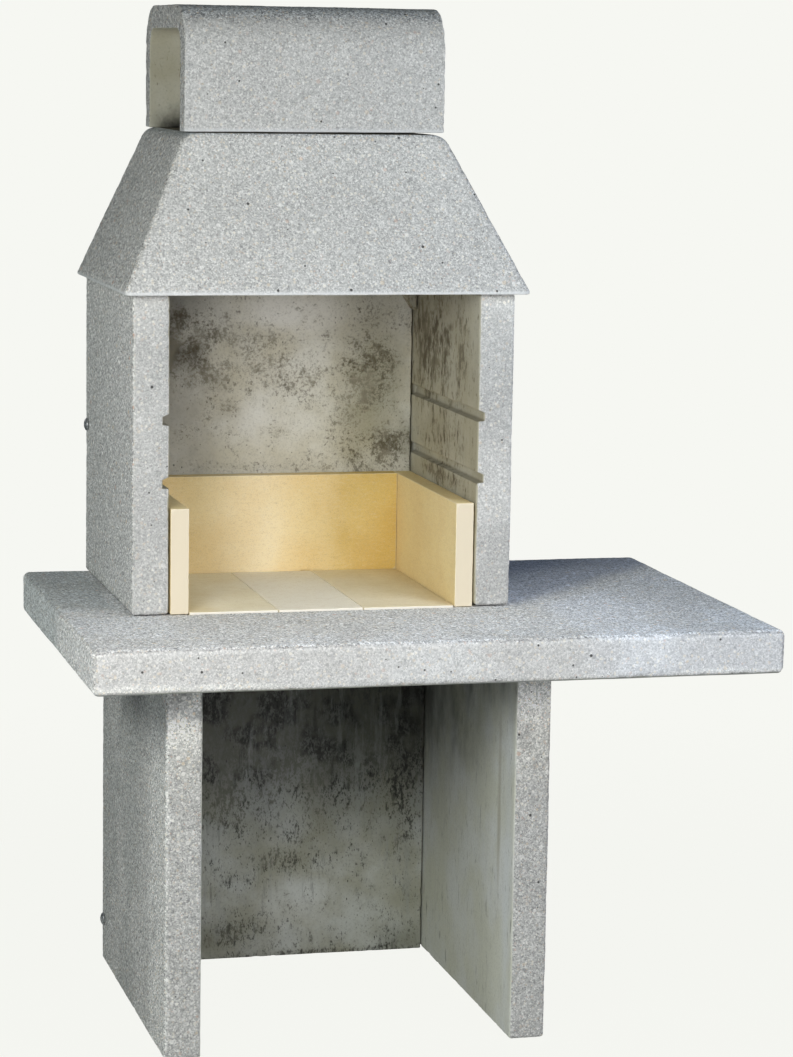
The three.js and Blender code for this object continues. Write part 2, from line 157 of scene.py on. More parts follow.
class Recipe:
    """A node tree being put together, one node at a time."""

    def __init__(self, tree):
        self.tree = tree
        self.colour = None

    def fill(self, step, sockets):
        """Gives a node's sockets their wires or values. A colour is three numbers, or one for a grey."""
        for key, value in sockets.items():
            if isinstance(key, int):
                place = step.inputs[key]
            else:
                place = next(s for s in step.inputs if s.name == key and s.enabled)
            if isinstance(value, Wire):
                self.tree.links.new(value.socket, place)
            elif place.type == "RGBA":
                place.default_value = (*(value if isinstance(value, tuple) else (value,) * 3), 1.0)
            else:
                place.default_value = value

    def add(self, kind, settings=None, sockets=None, out=0):
        step = self.tree.nodes.new(kind)
        for key, value in (settings or {}).items():
            if key == "stops":
                ramp = step.color_ramp
                while len(ramp.elements) < len(value):
                    ramp.elements.new(1.0)
                for element, (place, colour) in zip(ramp.elements, value):
                    element.position = place
                    element.color = (*colour, 1.0)
            elif key == "steps":
                step.color_ramp.interpolation = value
            else:
                setattr(step, key, value)
        self.fill(step, sockets or {})
        if isinstance(out, int):
            return Wire(step.outputs[out])
        return Wire(next(s for s in step.outputs if s.name == out and s.enabled))

    def place(self):
        """Where the surface is, on the object."""
        return self.add("ShaderNodeTexCoord", None, None, "Object")

    def noted(self, name):
        """A number that the mesh keeps under this name."""
        return self.add("ShaderNodeAttribute", {"attribute_name": name}, None, "Fac")

    def split(self, vector):
        return [Wire(part) for part in self.add("ShaderNodeSeparateXYZ", None, {0: vector}).socket.node.outputs]

    def combine(self, *parts):
        return self.add("ShaderNodeCombineXYZ", None, dict(enumerate(parts)))

    def blend(self, share, first, second, how="MIX"):
        """Two colours mixed: share 0 gives the first and share 1 the second."""
        settings = {"data_type": "RGBA", "blend_type": how}
        return self.add("ShaderNodeMix", settings, {"Factor": share, "A": first, "B": second}, "Result")

    def lay(self, share, tone):
        """Covers the colour so far with a tone, as far as the share says."""
        self.colour = self.blend(share, self.colour, tone)

    def shade(self, share, tone):
        """Multiplies the colour so far by a tone, as far as the share says."""
        self.colour = self.blend(share, self.colour, tone, "MULTIPLY")

    def ramp(self, value, stops, steps="CONSTANT"):
        return self.add("ShaderNodeValToRGB", {"steps": steps, "stops": stops}, {"Fac": value})

    def ease(self, value, low, high):
        """0 below low, 1 above high and smooth between them; high may be the lower one."""
        sockets = {"Value": value, "From Min": low, "From Max": high}
        return self.add("ShaderNodeMapRange", {"interpolation_type": "SMOOTHSTEP"}, sockets, "Result")

    def facing(self, kind="True Normal"):
        """Which way the surface faces: to the right, to the rear and up."""
        return self.split(self.add("ShaderNodeNewGeometry", None, None, kind))

    def length(self, *parts):
        return self.add("ShaderNodeVectorMath", {"operation": "LENGTH"}, {0: self.combine(*parts)}, "Value")

    def stretch(self, vector, *scale):
        return self.add("ShaderNodeMapping", None, {"Vector": vector, "Scale": scale}, "Vector")

    def noise(self, vector, scale, detail=2.0, rough=0.5):
        return self.add("ShaderNodeTexNoise", None,
                        {"Vector": vector, "Scale": scale, "Detail": detail, "Roughness": rough})

    def cells(self, vector, scale):
        """Distance to the middle of the nearest cell, and three random numbers of that cell."""
        near = self.add("ShaderNodeTexVoronoi", None, {"Vector": vector, "Scale": scale}, "Distance")
        colour = Wire(near.socket.node.outputs["Color"])
        parts = self.add("ShaderNodeSeparateColor", None, {"Color": colour}).socket.node.outputs
        return near, [Wire(part) for part in parts]

    def join(self, *bodies):
        joined = self.tree.nodes.new("GeometryNodeJoinGeometry")
        for body in bodies:
            self.tree.links.new(body.socket, joined.inputs[0])
        return Wire(joined.outputs[0])

    def coat(self, body, finish, where=True):
        """Gives the faces of a body their material."""
        return self.add("GeometryNodeSetMaterial", None, {"Geometry": body, "Selection": where, "Material": finish})

    def end(self, body):
        """Hands out the body, and gives back the finished tree."""
        self.tree.links.new(body.socket, self.tree.nodes.new("NodeGroupOutput").inputs[0])
        return self.tree

    def dress(self, sockets, height=None, strength=0.4, depth=0.0006):
        """Fills the sockets of the material's shader, with the colour so far and a relief if there is one."""
        relief = {"Height": height, "Strength": strength, "Distance": depth}
        if height is not None:
            sockets["Normal"] = self.add("ShaderNodeBump", None, relief)
        self.fill(self.tree.nodes["Principled BSDF"], {"Base Color": self.colour, **sockets})


def new_finish(name):
    """A material and its recipe."""
    material = bpy.data.materials.new(name)
    material.use_nodes = True
    return material, Recipe(material.node_tree)


def solid_piece(name, points=((0.0, 0.0, 0.0),), faces=()):
    mesh = bpy.data.meshes.new(name)
    mesh.from_pydata(points, [], faces)
    mesh.update()
    piece = bpy.data.objects.new(name, mesh)
    scene.collection.objects.link(piece)
    return piece


BACKDROP = (0.922, 0.930, 0.888)
AMBIENT = 0.08
backdrop = bpy.data.worlds.new("backdrop")
backdrop.use_nodes = True
scene.world = backdrop
air = Recipe(backdrop.node_tree)
seen = air.add("ShaderNodeBackground", None, {"Color": BACKDROP, "Strength": 1.0})
felt = air.add("ShaderNodeBackground", None, {"Color": (0.84, 0.94, 1.0), "Strength": AMBIENT})
straight = air.add("ShaderNodeLightPath", None, None, "Is Camera Ray")
both = air.add("ShaderNodeMixShader", None, {0: straight, 1: felt, 2: seen})
air.fill(backdrop.node_tree.nodes["World Output"], {"Surface": both})

FLOOR_RADIUS = 3.2
FLOOR_SIDES = 96
FLOOR_LEVEL = -0.0006
FLOOR_FADE = (1.2, 3.0)
FLOOR_GLOW = 0.975
turns = [2 * math.pi * i / FLOOR_SIDES for i in range(FLOOR_SIDES)]
rim = [(FLOOR_RADIUS * math.cos(turn), FLOOR_RADIUS * math.sin(turn), FLOOR_LEVEL) for turn in turns]
floor = solid_piece("studio_floor", rim, [tuple(range(FLOOR_SIDES))])
paint, recipe = new_finish("studio_floor")
place = recipe.place()
recipe.colour = recipe.blend(recipe.noise(place, 40.0), (0.66, 0.665, 0.64), (0.70, 0.705, 0.68))
recipe.dress({"Roughness": 0.95, "Specular IOR Level": 0.1})
clear = recipe.add("ShaderNodeBsdfTransparent")
glow = recipe.add("ShaderNodeEmission", None, {"Color": BACKDROP, "Strength": 1.0})
straight = recipe.add("ShaderNodeLightPath", None, None, "Is Camera Ray")
body = Wire(paint.node_tree.nodes["Principled BSDF"].outputs[0])
lit = recipe.add("ShaderNodeMixShader", None, {0: straight * FLOOR_GLOW, 1: body, 2: glow})
reach = recipe.add("ShaderNodeVectorMath", {"operation": "LENGTH"}, {0: place}, "Value")
mixed = recipe.add("ShaderNodeMixShader", None, {0: recipe.ease(reach, *FLOOR_FADE), 1: lit, 2: clear})
recipe.fill(paint.node_tree.nodes["Material Output"], {"Surface": mixed})
floor.data.materials.append(paint)


# Base side walls
# Two upright slabs of cast concrete, 65 mm thick. Their outer faces and edges are washed, so that the gravel
# shows, and their inner faces are as smooth as the mould. Each is bolted to the rear panel from outside.

MM = 0.001
BASE_WALL_PITCH = 5.5 * MM
WALL_EDGE = 7 * MM
EDGE_REACH = 9 * MM


def grid_lines(low, high, radius, pitch, marks):
    """Places of the grid lines along one side of a block: close round its edges, and one at each mark."""
    bends = [radius * math.tan(math.radians(angle)) for angle in (0, 15, 30, 45)]
    start, end = low + radius, high - radius
    count = max(1, round((end - start) / pitch))
    even = [start + (end - start) * i / count for i in range(1, count)]
    even = [line for line in even if all(abs(line - mark) > 0.35 * pitch for mark in marks)]
    return sorted([start - b for b in bends] + even + list(marks) + [end + b for b in bends])


def cast_block(name, low, high, radius, pitch, marks=((), (), ()), formed=()):
    """A closed block of square mesh with round edges. Its points know how near they are to an edge, and its
    faces know whether they were cast against the smooth mould."""
    low, high = np.array(low), np.array(high)
    lines = [np.array(grid_lines(low[a], high[a], radius, pitch, marks[a])) for a in range(3)]
    sizes = [len(line) for line in lines]
    spot = np.stack(np.meshgrid(*[np.arange(s) for s in sizes], indexing="ij"), -1)
    skin = ((spot == 0) | (spot == np.array(sizes) - 1)).any(-1)
    number = np.full(sizes, -1)
    number[skin] = np.arange(skin.sum())
    where = spot[skin]
    flat = np.stack([lines[a][where[:, a]] for a in range(3)], 1)
    core = np.clip(flat, low + radius, high - radius)
    away = flat - core
    away /= np.linalg.norm(away, axis=1)[:, None]
    points = core + radius * away
    gaps = np.sort(np.minimum(flat - low, high - flat), axis=1)
    near_edge = np.clip(1 - gaps[:, 1] / EDGE_REACH, 0, 1)
    faces, smooth = [], []
    for axis in range(3):
        for side in (0, 1):
            sheet = np.moveaxis(number, axis, 0)[-1 if side else 0]
            a, b, c, d = sheet[:-1, :-1], sheet[1:, :-1], sheet[1:, 1:], sheet[:-1, 1:]
            ring = [a, b, c, d] if (side == 1) != (axis == 1) else [a, d, c, b]
            faces.append(np.stack([r.ravel() for r in ring], 1))
            smooth.append(np.full(len(faces[-1]), (axis, side) in formed))
    piece = solid_piece(name, points, np.concatenate(faces).tolist())
    note_points(piece, "near_edge", near_edge)
    note_faces(piece, np.concatenate(smooth))
    return piece


def note_points(piece, name, values):
    """Stores a number at each point: nearness to an edge, or the narrow smooth lip that was never washed."""
    piece.data.attributes.new(name, "FLOAT", "POINT").data.foreach_set("value", values.astype(np.float32))


def note_faces(piece, formed):
    """Stores which faces were cast against the smooth mould."""
    piece.data.attributes.new("formed", "BOOLEAN", "FACE").data.foreach_set("value", formed)


def read_places(items, field):
    """The places of all points or faces of a mesh."""
    places = np.empty(len(items) * 3)
    items.foreach_get(field, places)
    return places.reshape(-1, 3)


def move_points(piece, change):
    """Passes all the points through a function and stores them again."""
    points = piece.data.vertices
    points.foreach_set("co", change(read_places(points, "co")).ravel())
    piece.data.update()


def new_tree(name, sizes, others):
    """An empty geometry tree: it takes a body, named sizes and the others, and hands out a body."""
    tree = bpy.data.node_groups.new(name, "GeometryNodeTree")
    tree.interface.new_socket("Body", in_out="INPUT", socket_type="NodeSocketGeometry")
    for size, start in sizes.items():
        tree.interface.new_socket(size, in_out="INPUT", socket_type="NodeSocketFloat").default_value = start
    for other, kind in others.items():
        tree.interface.new_socket(other, in_out="INPUT", socket_type="NodeSocket" + kind)
    tree.interface.new_socket("Body", in_out="OUTPUT", socket_type="NodeSocketGeometry")
    given = {socket.name: Wire(socket) for socket in tree.nodes.new("NodeGroupInput").outputs if socket.name}
    return Recipe(tree), given


def surface_tree():
    """Geometry nodes that give a smooth cast body its real skin: slow waves from the mould, fine grit where the
    cement was washed away, chipped arrises, and gravel that stands out of the washed faces."""
    steps, given = new_tree("cast_surface", {
        "Wave height": 0.6 * MM, "Wave scale": 7.0, "Grit height": 0.5 * MM, "Grit scale": 130.0,
        "Chip depth": 1.6 * MM, "Gravel per square metre": 3600.0, "Gravel radius": 1.8 * MM,
        "Formed grit": 0.1 * MM, "Skin depth": 0.5 * MM,
    }, {"Seed": "Int", "Washed finish": "Material", "Formed finish": "Material"})

    def noted(name, kind="FLOAT"):
        return steps.add("GeometryNodeInputNamedAttribute", {"data_type": kind}, {"Name": name}, "Attribute")

    def either(washed, smooth):
        sockets = {"Switch": formed, "False": washed, "True": smooth}
        return steps.add("GeometryNodeSwitch", {"input_type": "FLOAT"}, sockets, "Output")

    def drawn(low, high, seed):
        """A random number for each stone."""
        sockets = {"Min": low, "Max": high, "Seed": seed}
        return steps.add("FunctionNodeRandomValue", {"data_type": "FLOAT"}, sockets, "Value")

    edge, lip, formed = noted("near_edge"), noted("smooth_lip"), noted("formed", "BOOLEAN")
    place, outward = steps.add("GeometryNodeInputPosition"), steps.add("GeometryNodeInputNormal")
    seeded = steps.add("ShaderNodeVectorMath", {"operation": "ADD"}, {0: place, 1: given["Seed"]})
    wave = steps.ease(steps.noise(seeded, given["Wave scale"], 1.0), 0.3, 0.7)
    grit = steps.ease(steps.noise(seeded, given["Grit scale"], 1.0), 0.25, 0.75)
    chip = steps.ease(steps.noise(seeded, 55.0), 0.52, 0.68)
    bare = 1.0 - lip
    rough = grit * either(given["Grit height"], given["Formed grit"]) + chip * edge * given["Chip depth"]
    depth = either(given["Skin depth"], 0.0) + wave * given["Wave height"] + rough * bare
    inward = steps.add("ShaderNodeVectorMath", {"operation": "SCALE"}, {0: outward, "Scale": 0.0 - depth})
    skin = steps.add("GeometryNodeSetPosition", None, {"Geometry": given["Body"], "Offset": inward})
    skin = steps.add("GeometryNodeSetShadeSmooth", None, {0: skin, "Shade Smooth": True})
    skin = steps.coat(steps.coat(skin, given["Washed finish"]), given["Formed finish"], formed)
    # the gravel: flattened stones that lie in the washed faces, each turned at random and with a tone of its own
    washed = steps.add("FunctionNodeBooleanMath", {"operation": "NOT"}, {0: formed})
    spots = steps.add("GeometryNodeDistributePointsOnFaces", {"distribute_method": "POISSON"}, {
        "Mesh": skin, "Selection": washed, "Distance Min": given["Gravel radius"] * 2.1,
        "Density Max": given["Gravel per square metre"], "Density Factor": bare, "Seed": given["Seed"]})
    facing = Wire(spots.socket.node.outputs["Rotation"])
    stone = steps.add("GeometryNodeMeshIcoSphere", None, {"Radius": 1.0, "Subdivisions": 1})
    size = drawn(0.55, 1.25, 3) * given["Gravel radius"]
    gravel = steps.add("GeometryNodeInstanceOnPoints", None, {
        "Points": spots, "Instance": stone, "Rotation": facing,
        "Scale": steps.combine(size, size * 0.8, size * 0.2)})
    turn = steps.combine(0.0, 0.0, drawn(0.0, 6.28, 4))
    gravel = steps.add("GeometryNodeRotateInstances", None, {"Instances": gravel, "Rotation": turn})
    gravel = steps.add("GeometryNodeStoreNamedAttribute", {"data_type": "FLOAT", "domain": "INSTANCE"},
                       {"Geometry": gravel, "Name": "stone_tone", "Value": drawn(0.05, 1.0, 5)})
    gravel = steps.add("GeometryNodeRealizeInstances", None, {"Geometry": gravel})
    gravel = steps.add("GeometryNodeSetShadeSmooth", None, {0: gravel, "Shade Smooth": True})
    return steps.end(steps.join(steps.coat(gravel, given["Washed finish"]), skin))


CAST_SURFACE = surface_tree()


def bake_tree(piece, tree, **inputs):
    """Runs a geometry tree on a piece and keeps the result as its plain mesh."""
    modifier = piece.modifiers.new("surface", "NODES")
    modifier.node_group = tree
    for item in tree.interface.items_tree:
        key = item.name.replace(" ", "_").lower()
        if item.in_out == "INPUT" and key in inputs:
            modifier[item.identifier] = inputs[key]
    bpy.context.view_layer.update()
    done = bpy.data.meshes.new_from_object(piece.evaluated_get(bpy.context.evaluated_depsgraph_get()))
    piece.modifiers.remove(modifier)
    piece.data = done


CEMENT = (0.50, 0.505, 0.49)
SAND_TONES = (
    (0.0, (0.10, 0.10, 0.10)), (0.3, (0.34, 0.34, 0.335)), (0.7, (0.58, 0.575, 0.56)), (1.0, (0.98, 0.97, 0.94)),
)
GRAVEL_TONES = (
    (0.0, (0.78, 0.775, 0.75)), (0.20, (0.46, 0.465, 0.46)), (0.38, (0.95, 0.94, 0.91)), (0.56, (0.28, 0.285, 0.29)),
    (0.72, (0.66, 0.54, 0.38)), (0.79, (0.66, 0.65, 0.62)), (0.88, (0.56, 0.37, 0.28)), (0.92, (0.15, 0.15, 0.155)),
)
WARM_TONES = (
    (0.0, (0.72, 0.66, 0.55)), (0.4, (0.82, 0.79, 0.70)), (0.7, (0.58, 0.50, 0.42)), (0.9, (0.66, 0.59, 0.55)),
)


def washed_concrete(name, cement=CEMENT, tones=GRAVEL_TONES, lift=1.0, flank=1.0, painted_sky_tint=0.5, wear=0.5, rim=1.0,
                    gentle=0.55, painted_light_and_shade=()):
    """Concrete whose skin of cement is washed off: gravel of several sizes and colours in pale grey cement, a few
    small air holes, and worn, paler edges. Lift brightens it; flank paints the faces to the sides paler or darker,
    and rim the arrises, as painted light and shade. Gentle says how much less the faces at front and rear were
    washed. The painted_sky_tint is how strongly faces that look up are tinted blue, as a painted reflection of the
    sky. Each of painted_light_and_shade is a tint and the ways along which it comes in, each as (direction, where
    it starts, where it is full)."""
    material, recipe = new_finish(name)
    place = recipe.place()
    clouds = recipe.noise(place, 6.0, 3.0)
    patches = recipe.noise(place, 38.0)
    dark, light = (tuple(share * c for c in cement) for share in (0.93, 1.05))
    recipe.colour = recipe.blend(recipe.ease(clouds, 0.3, 0.7), dark, light)
    recipe.lay(recipe.ease(patches, 0.35, 0.7) * 0.35, (0.40, 0.40, 0.39))
    # the flat faces at the front and rear lay in the mould and were washed more gently than the rest
    sideways, frontal, upward = recipe.facing()
    sideways, frontal = reckon("ABSOLUTE", sideways), reckon("ABSOLUTE", frontal)
    skyward = recipe.ease(upward, 0.6, 0.95)
    bite = 1.0 - gentle * recipe.ease(frontal, 0.55, 0.85) - 0.15 * skyward
    # sand and fine chippings
    near, (_, g, _) = recipe.cells(place, 430.0)
    recipe.lay(bite * 0.85, recipe.ramp(g, SAND_TONES, "LINEAR"))
    # darker in the hollows of the relief and paler on its highs
    relief = recipe.noise(place, 200.0, 3.0, 0.6)
    recipe.lay(recipe.ease(relief, 0.48, 0.30) * bite * 0.72, 0.12)
    recipe.lay(recipe.ease(relief, 0.52, 0.70) * bite * 0.62, (0.93, 0.925, 0.90))
    height = recipe.ease(near, 0.6, 0.1) * 0.25 + relief * 1.6
    # gravel in three sizes, the larger the rarer
    for scale, share, rise in ((340.0, 0.50, 0.5), (205.0, 0.42, 0.8), (115.0, 0.16, 1.2)):
        near, (r, g, b) = recipe.cells(place, scale)
        size = 0.20 + 0.30 * b
        stone = recipe.ease(near, size + 0.06, size - 0.06) * (r < share)
        recipe.lay(stone * bite * 0.90, recipe.ramp(g, tones))
        height = height + stone * rise
    # a few warm pebbles
    near, (r, g, b) = recipe.cells(place, 155.0)
    pebble = recipe.ease(near, 0.30 + 0.2 * b, 0.22 + 0.2 * b) * (r < 0.20)
    recipe.lay(pebble * 0.5, recipe.ramp(g, WARM_TONES))
    # the raised gravel carries its own tone
    own = recipe.noted("stone_tone")
    recipe.lay((own > 0.01) * bite * 0.8, recipe.ramp(own, tones))
    # worn edges and air holes
    edge = recipe.noted("near_edge")
    worn = recipe.ease(edge, 0.35, 1.0) * recipe.ease(recipe.noise(place, 70.0), 0.35, 0.6)
    recipe.lay(worn * wear, (0.68, 0.68, 0.66))
    lip = recipe.noted("smooth_lip")
    recipe.lay(lip * 0.7, (0.62, 0.635, 0.635))
    # painted light: faces that look up are tinted blue, as a painted reflection of the sky
    recipe.shade(skyward * painted_sky_tint, (0.84, 0.95, 1.07))
    near, (r, _, b) = recipe.cells(place, 42.0)
    hole = recipe.ease(near, 0.06 + 0.07 * b, 0.04 + 0.05 * b) * (r < 0.5)
    recipe.lay(hole * 0.9, (0.035, 0.034, 0.032))
    height = (height - hole * 3.0) * (1.0 - 0.8 * lip)
    # painted light and shade: rim makes the arrises paler or darker, and flank the faces to the sides
    if rim != 1.0:
        recipe.shade(recipe.ease(edge, 0.2, 0.9), rim)
    if lift != 1.0:
        recipe.shade(1.0, lift)
    if flank != 1.0:
        recipe.shade(recipe.ease(sideways, 0.5, 0.8), flank)
    # painted light and shade: each tint darkens or brightens the colour where its ways say
    for tint, *ways in painted_light_and_shade:
        share = 1.0
        for way, start, full in ways:
            along = recipe.add("ShaderNodeVectorMath", {"operation": "DOT_PRODUCT"}, {0: place, 1: way}, "Value")
            share = share * recipe.ease(along + 0.04 * (clouds - 0.5), start, full)
        recipe.shade(share, tint)
    rough = 0.78 + 0.16 * recipe.noise(place, 240.0, 1.0)
    recipe.dress({"Roughness": rough, "Specular IOR Level": 0.35}, height, 0.40, 0.0007)
    return material


# flank paints the faces to the sides darker, as painted shade
WASHED = washed_concrete("washed_concrete", lift=0.97, flank=0.89, gentle=0.62)

# the ways of a painted light or shade: a direction, and the places along it where the tint starts and where it is
# full
RIGHT, REAR, UP = (1.0, 0.0, 0.0), (0.0, 1.0, 0.0), (0.0, 0.0, 1.0)
WALL_FRONT = (REAR, -0.244, -0.248)
WALL_OUTSIDE = (RIGHT, -0.443, -0.447)
# painted light and shade: the front faces are painted paler towards their tops, the left one more, and the right
# one darker again just under the slab, as painted shadow; the left wall's outer side is painted paler towards its
# front and darker towards its rear, and carries the slab's painted shadow at its top
BASE_WASHED = washed_concrete("washed_base_concrete", wear=0.2, gentle=0.45, painted_light_and_shade=(
    ((1.30, 1.30, 1.29), (UP, 0.42, 0.58), WALL_FRONT),
    (1.26, (REAR, -0.05, -0.13), WALL_OUTSIDE),
    ((0.87, 0.88, 0.88), (REAR, -0.05, 0.03), WALL_OUTSIDE),
    ((0.62, 0.63, 0.63), (UP, 0.49, 0.61), WALL_OUTSIDE),
    (0.70, (UP, 0.47, 0.60), (REAR, -0.06, 0.04), WALL_OUTSIDE),
    ((0.45, 0.46, 0.46), (UP, 0.615, 0.665), WALL_OUTSIDE),
    ((1.30, 1.30, 1.29), (UP, 0.52, 0.60), WALL_FRONT),
    (0.75, (UP, 0.625, 0.660), WALL_FRONT, (RIGHT, 0.10, 0.13)),
    (1.16, (UP, 0.50, 0.58), WALL_FRONT, (RIGHT, -0.30, -0.35)),
))


BLOOM_SPREAD = 1.35
FINE_SPECKS = ((60.0, 4.0, 0.65, 0.20, 0.70), (150.0, 3.0, 0.65, 0.18, 0.50))


def formed_concrete(name, pale, warm, stain, pores, specks, blooms=(), paler_patches=(), smoke_and_painted_light=(), across=0, drawn=1.0,
                    runs=0.0, dirt=0.1, soak=0.5, damp_and_painted_shade=None, ledge=0.0):
    """Concrete as smooth as its mould: cloudy grey with small air holes. Its dark blooms are swarms of ragged
    specks, drawn out downwards where water ran, each kind of speck as (scale, octaves, roughness, how far a swarm
    brings it out, how dark). A bloom, a paler patch or a tone patch is (place across, height, half width, half
    height, strength), a tone patch with its tone at the end, and across is the axis that lies along the face. Some
    tone patches are soot and stain; others, and some paler patches, are painted shade and painted light. The
    damp_and_painted_shade setting is (height where it starts, height where it is darkest, strength, tone): a
    darkening towards the top that is part dampness and part painted shade. Ledge is how dark dirt and painted
    shade lie on what faces up."""
    material, recipe = new_finish(name)
    place = recipe.place()
    axes = recipe.split(place)
    side, level = axes[across], axes[2]
    wander = recipe.noise(recipe.stretch(place, 1.0, 1.0, (1 + drawn) / 2), 17.0, 5.0, 0.62)

    def patch(along, up, half_width, half_height, strength, fray):
        away = recipe.length((side - along) / half_width, (level - up) / half_height)
        return recipe.ease(away + (wander - 0.5) * fray, 1.25, 0.0) * strength

    clouds = recipe.ease(recipe.noise(place, 5.5, 4.0, 0.6), 0.62, 0.35)
    # paler patches, of which some are painted light
    for spot in paler_patches:
        clouds = reckon("MAXIMUM", clouds, patch(*spot, 1.6))
    recipe.colour = recipe.blend(clouds, warm, pale)
    # where the mould swarms, and how thickly
    swarm = dirt * recipe.ease(wander, 0.42, 0.7)
    for along, up, half_width, half_height, strength in blooms:
        grown = patch(along, up, BLOOM_SPREAD * half_width, BLOOM_SPREAD * half_height, strength, 2.6)
        swarm = reckon("MAXIMUM", swarm, grown)
    brown, middling = (tuple((1 - share) * c + share * p for c, p in zip(stain, warm)) for share in (0.28, 0.5))
    recipe.lay(swarm * soak, middling)
    # darker towards the top: part dampness and part painted shade
    if damp_and_painted_shade:
        damp_shade = recipe.ease(level + (wander - 0.5) * 0.2, damp_and_painted_shade[0], damp_and_painted_shade[1])
        recipe.lay(damp_shade * damp_and_painted_shade[2], damp_and_painted_shade[3])
        swarm = reckon("MAXIMUM", swarm, damp_shade * 0.85)
    # tone patches: some are soot and stain, others painted shade, and a few painted light
    for *spot, tone in smoke_and_painted_light:
        recipe.lay(patch(*spot, 1.2), tone)
    # ragged specks: the thicker the swarm, the more of the noise shows
    ink = recipe.blend(recipe.ease(recipe.noise(place, 21.0), 0.4, 0.6), stain, brown)
    ragged = recipe.stretch(place, 1.0, 1.0, drawn)
    height = 0.0
    for scale, detail, rough, reach, dark in specks:
        grown = recipe.noise(ragged, scale, detail, rough) + swarm * reach
        speck = recipe.ease(grown, 0.63, 0.75)
        recipe.lay(speck * dark, ink)
        height = height - speck * 0.3
    near, (r, g, b) = recipe.cells(ragged, 150.0)
    dot = recipe.ease(near, 0.14 + 0.16 * b, 0.05 + 0.08 * b) * (r < swarm * 0.15 + 0.035)
    recipe.lay(dot * (0.25 + 0.5 * g), stain)
    if runs:
        lines = recipe.noise(recipe.stretch(place, 1.0, 1.0, 0.14), 55.0, 5.0, 0.68)
        reach = recipe.noise(recipe.stretch(place, 1.0, 1.0, 0.5), 12.0)
        drip = recipe.ease(lines, 0.5, 0.68) * recipe.ease(reach, 0.42, 0.62)
        recipe.lay(drip * runs, tuple(0.6 * c for c in pale))
        drip = recipe.ease(lines, 0.46, 0.32) * recipe.ease(reach, 0.45, 0.6)
        recipe.lay(drip * runs, stain)
    # part dirt and part painted shade: darker on what faces up
    if ledge:
        upward = recipe.facing("Normal")[2]
        recipe.lay(recipe.ease(upward, 0.25, 0.7) * ledge, stain)
    fine = recipe.noise(place, 260.0, 3.0, 0.6)
    recipe.lay(recipe.ease(fine, 0.45, 0.75) * 0.22, (0.20, 0.20, 0.18))
    # air holes
    near, (r, _, b) = recipe.cells(recipe.stretch(place, 1.0, 1.0, 0.22 + 0.5 * drawn), 58.0)
    hole = recipe.ease(near, 0.05 + 0.06 * b, 0.02 + 0.03 * b) * (r < pores)
    recipe.lay(hole * 0.85, (0.03, 0.03, 0.028))
    height = height + fine * 0.3 - hole * 2.0
    recipe.dress({"Roughness": 0.62 + 0.25 * fine, "Specular IOR Level": 0.3}, height)
    return material


# painted shadow: the two dark patches at the top of the walls and under the slab; the narrow patch below is a
# trickle of stain, and the last is a paler, bluish strip near the front
BASE_INSIDE = formed_concrete(
    "base_wall_inside", (0.75, 0.77, 0.75), (0.68, 0.69, 0.60), (0.14, 0.14, 0.12), 0.60, FINE_SPECKS, across=1,
    drawn=0.22, runs=0.16, dirt=0.32, soak=0.3, smoke_and_painted_light=(
        (0.42, 0.60, 0.46, 0.225, 1.0, (0.022, 0.022, 0.021)),
        (-0.02, 0.70, 0.60, 0.130, 1.0, (0.035, 0.035, 0.033)),
        (-0.155, 0.40, 0.012, 0.22, 0.5, (0.34, 0.31, 0.21)),
        (-0.21, 0.30, 0.03, 0.40, 0.5, (0.74, 0.78, 0.80)),
    ), blooms=(
        (0.30, 0.50, 0.12, 0.08, 0.35), (0.08, 0.24, 0.10, 0.12, 0.25), (0.20, 0.10, 0.12, 0.06, 0.2),
    ))

for side, inner in (("left", (0, 1)), ("right", (0, 0))):
    node = f"base_wall_{side}"
    low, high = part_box(node)
    wall = cast_block(f"{node}_cast", low, high, WALL_EDGE, BASE_WALL_PITCH, formed=(inner,))
    seed = 11 if side == "left" else 12
    bake_tree(wall, CAST_SURFACE, seed=seed, washed_finish=BASE_WASHED, formed_finish=BASE_INSIDE)
    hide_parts(node)
    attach(wall, "root")


# Base rear panel
# A thinner slab of plain cast concrete between the side walls. Damp has left dark blooms on its upper half and
# runs down its face. Its darkening towards the top is part damp and part painted shadow of the slab, and a black
# patch at its top right is painted shadow. Threaded sleeves in its ends take the wall bolts.

PANEL_EDGE = 3 * MM
PANEL_PITCH = 6 * MM
# its faces to the front, the rear, below and above; its ends lie against the walls
PANEL_FORMED = ((1, 0), (1, 1), (2, 0), (2, 1))

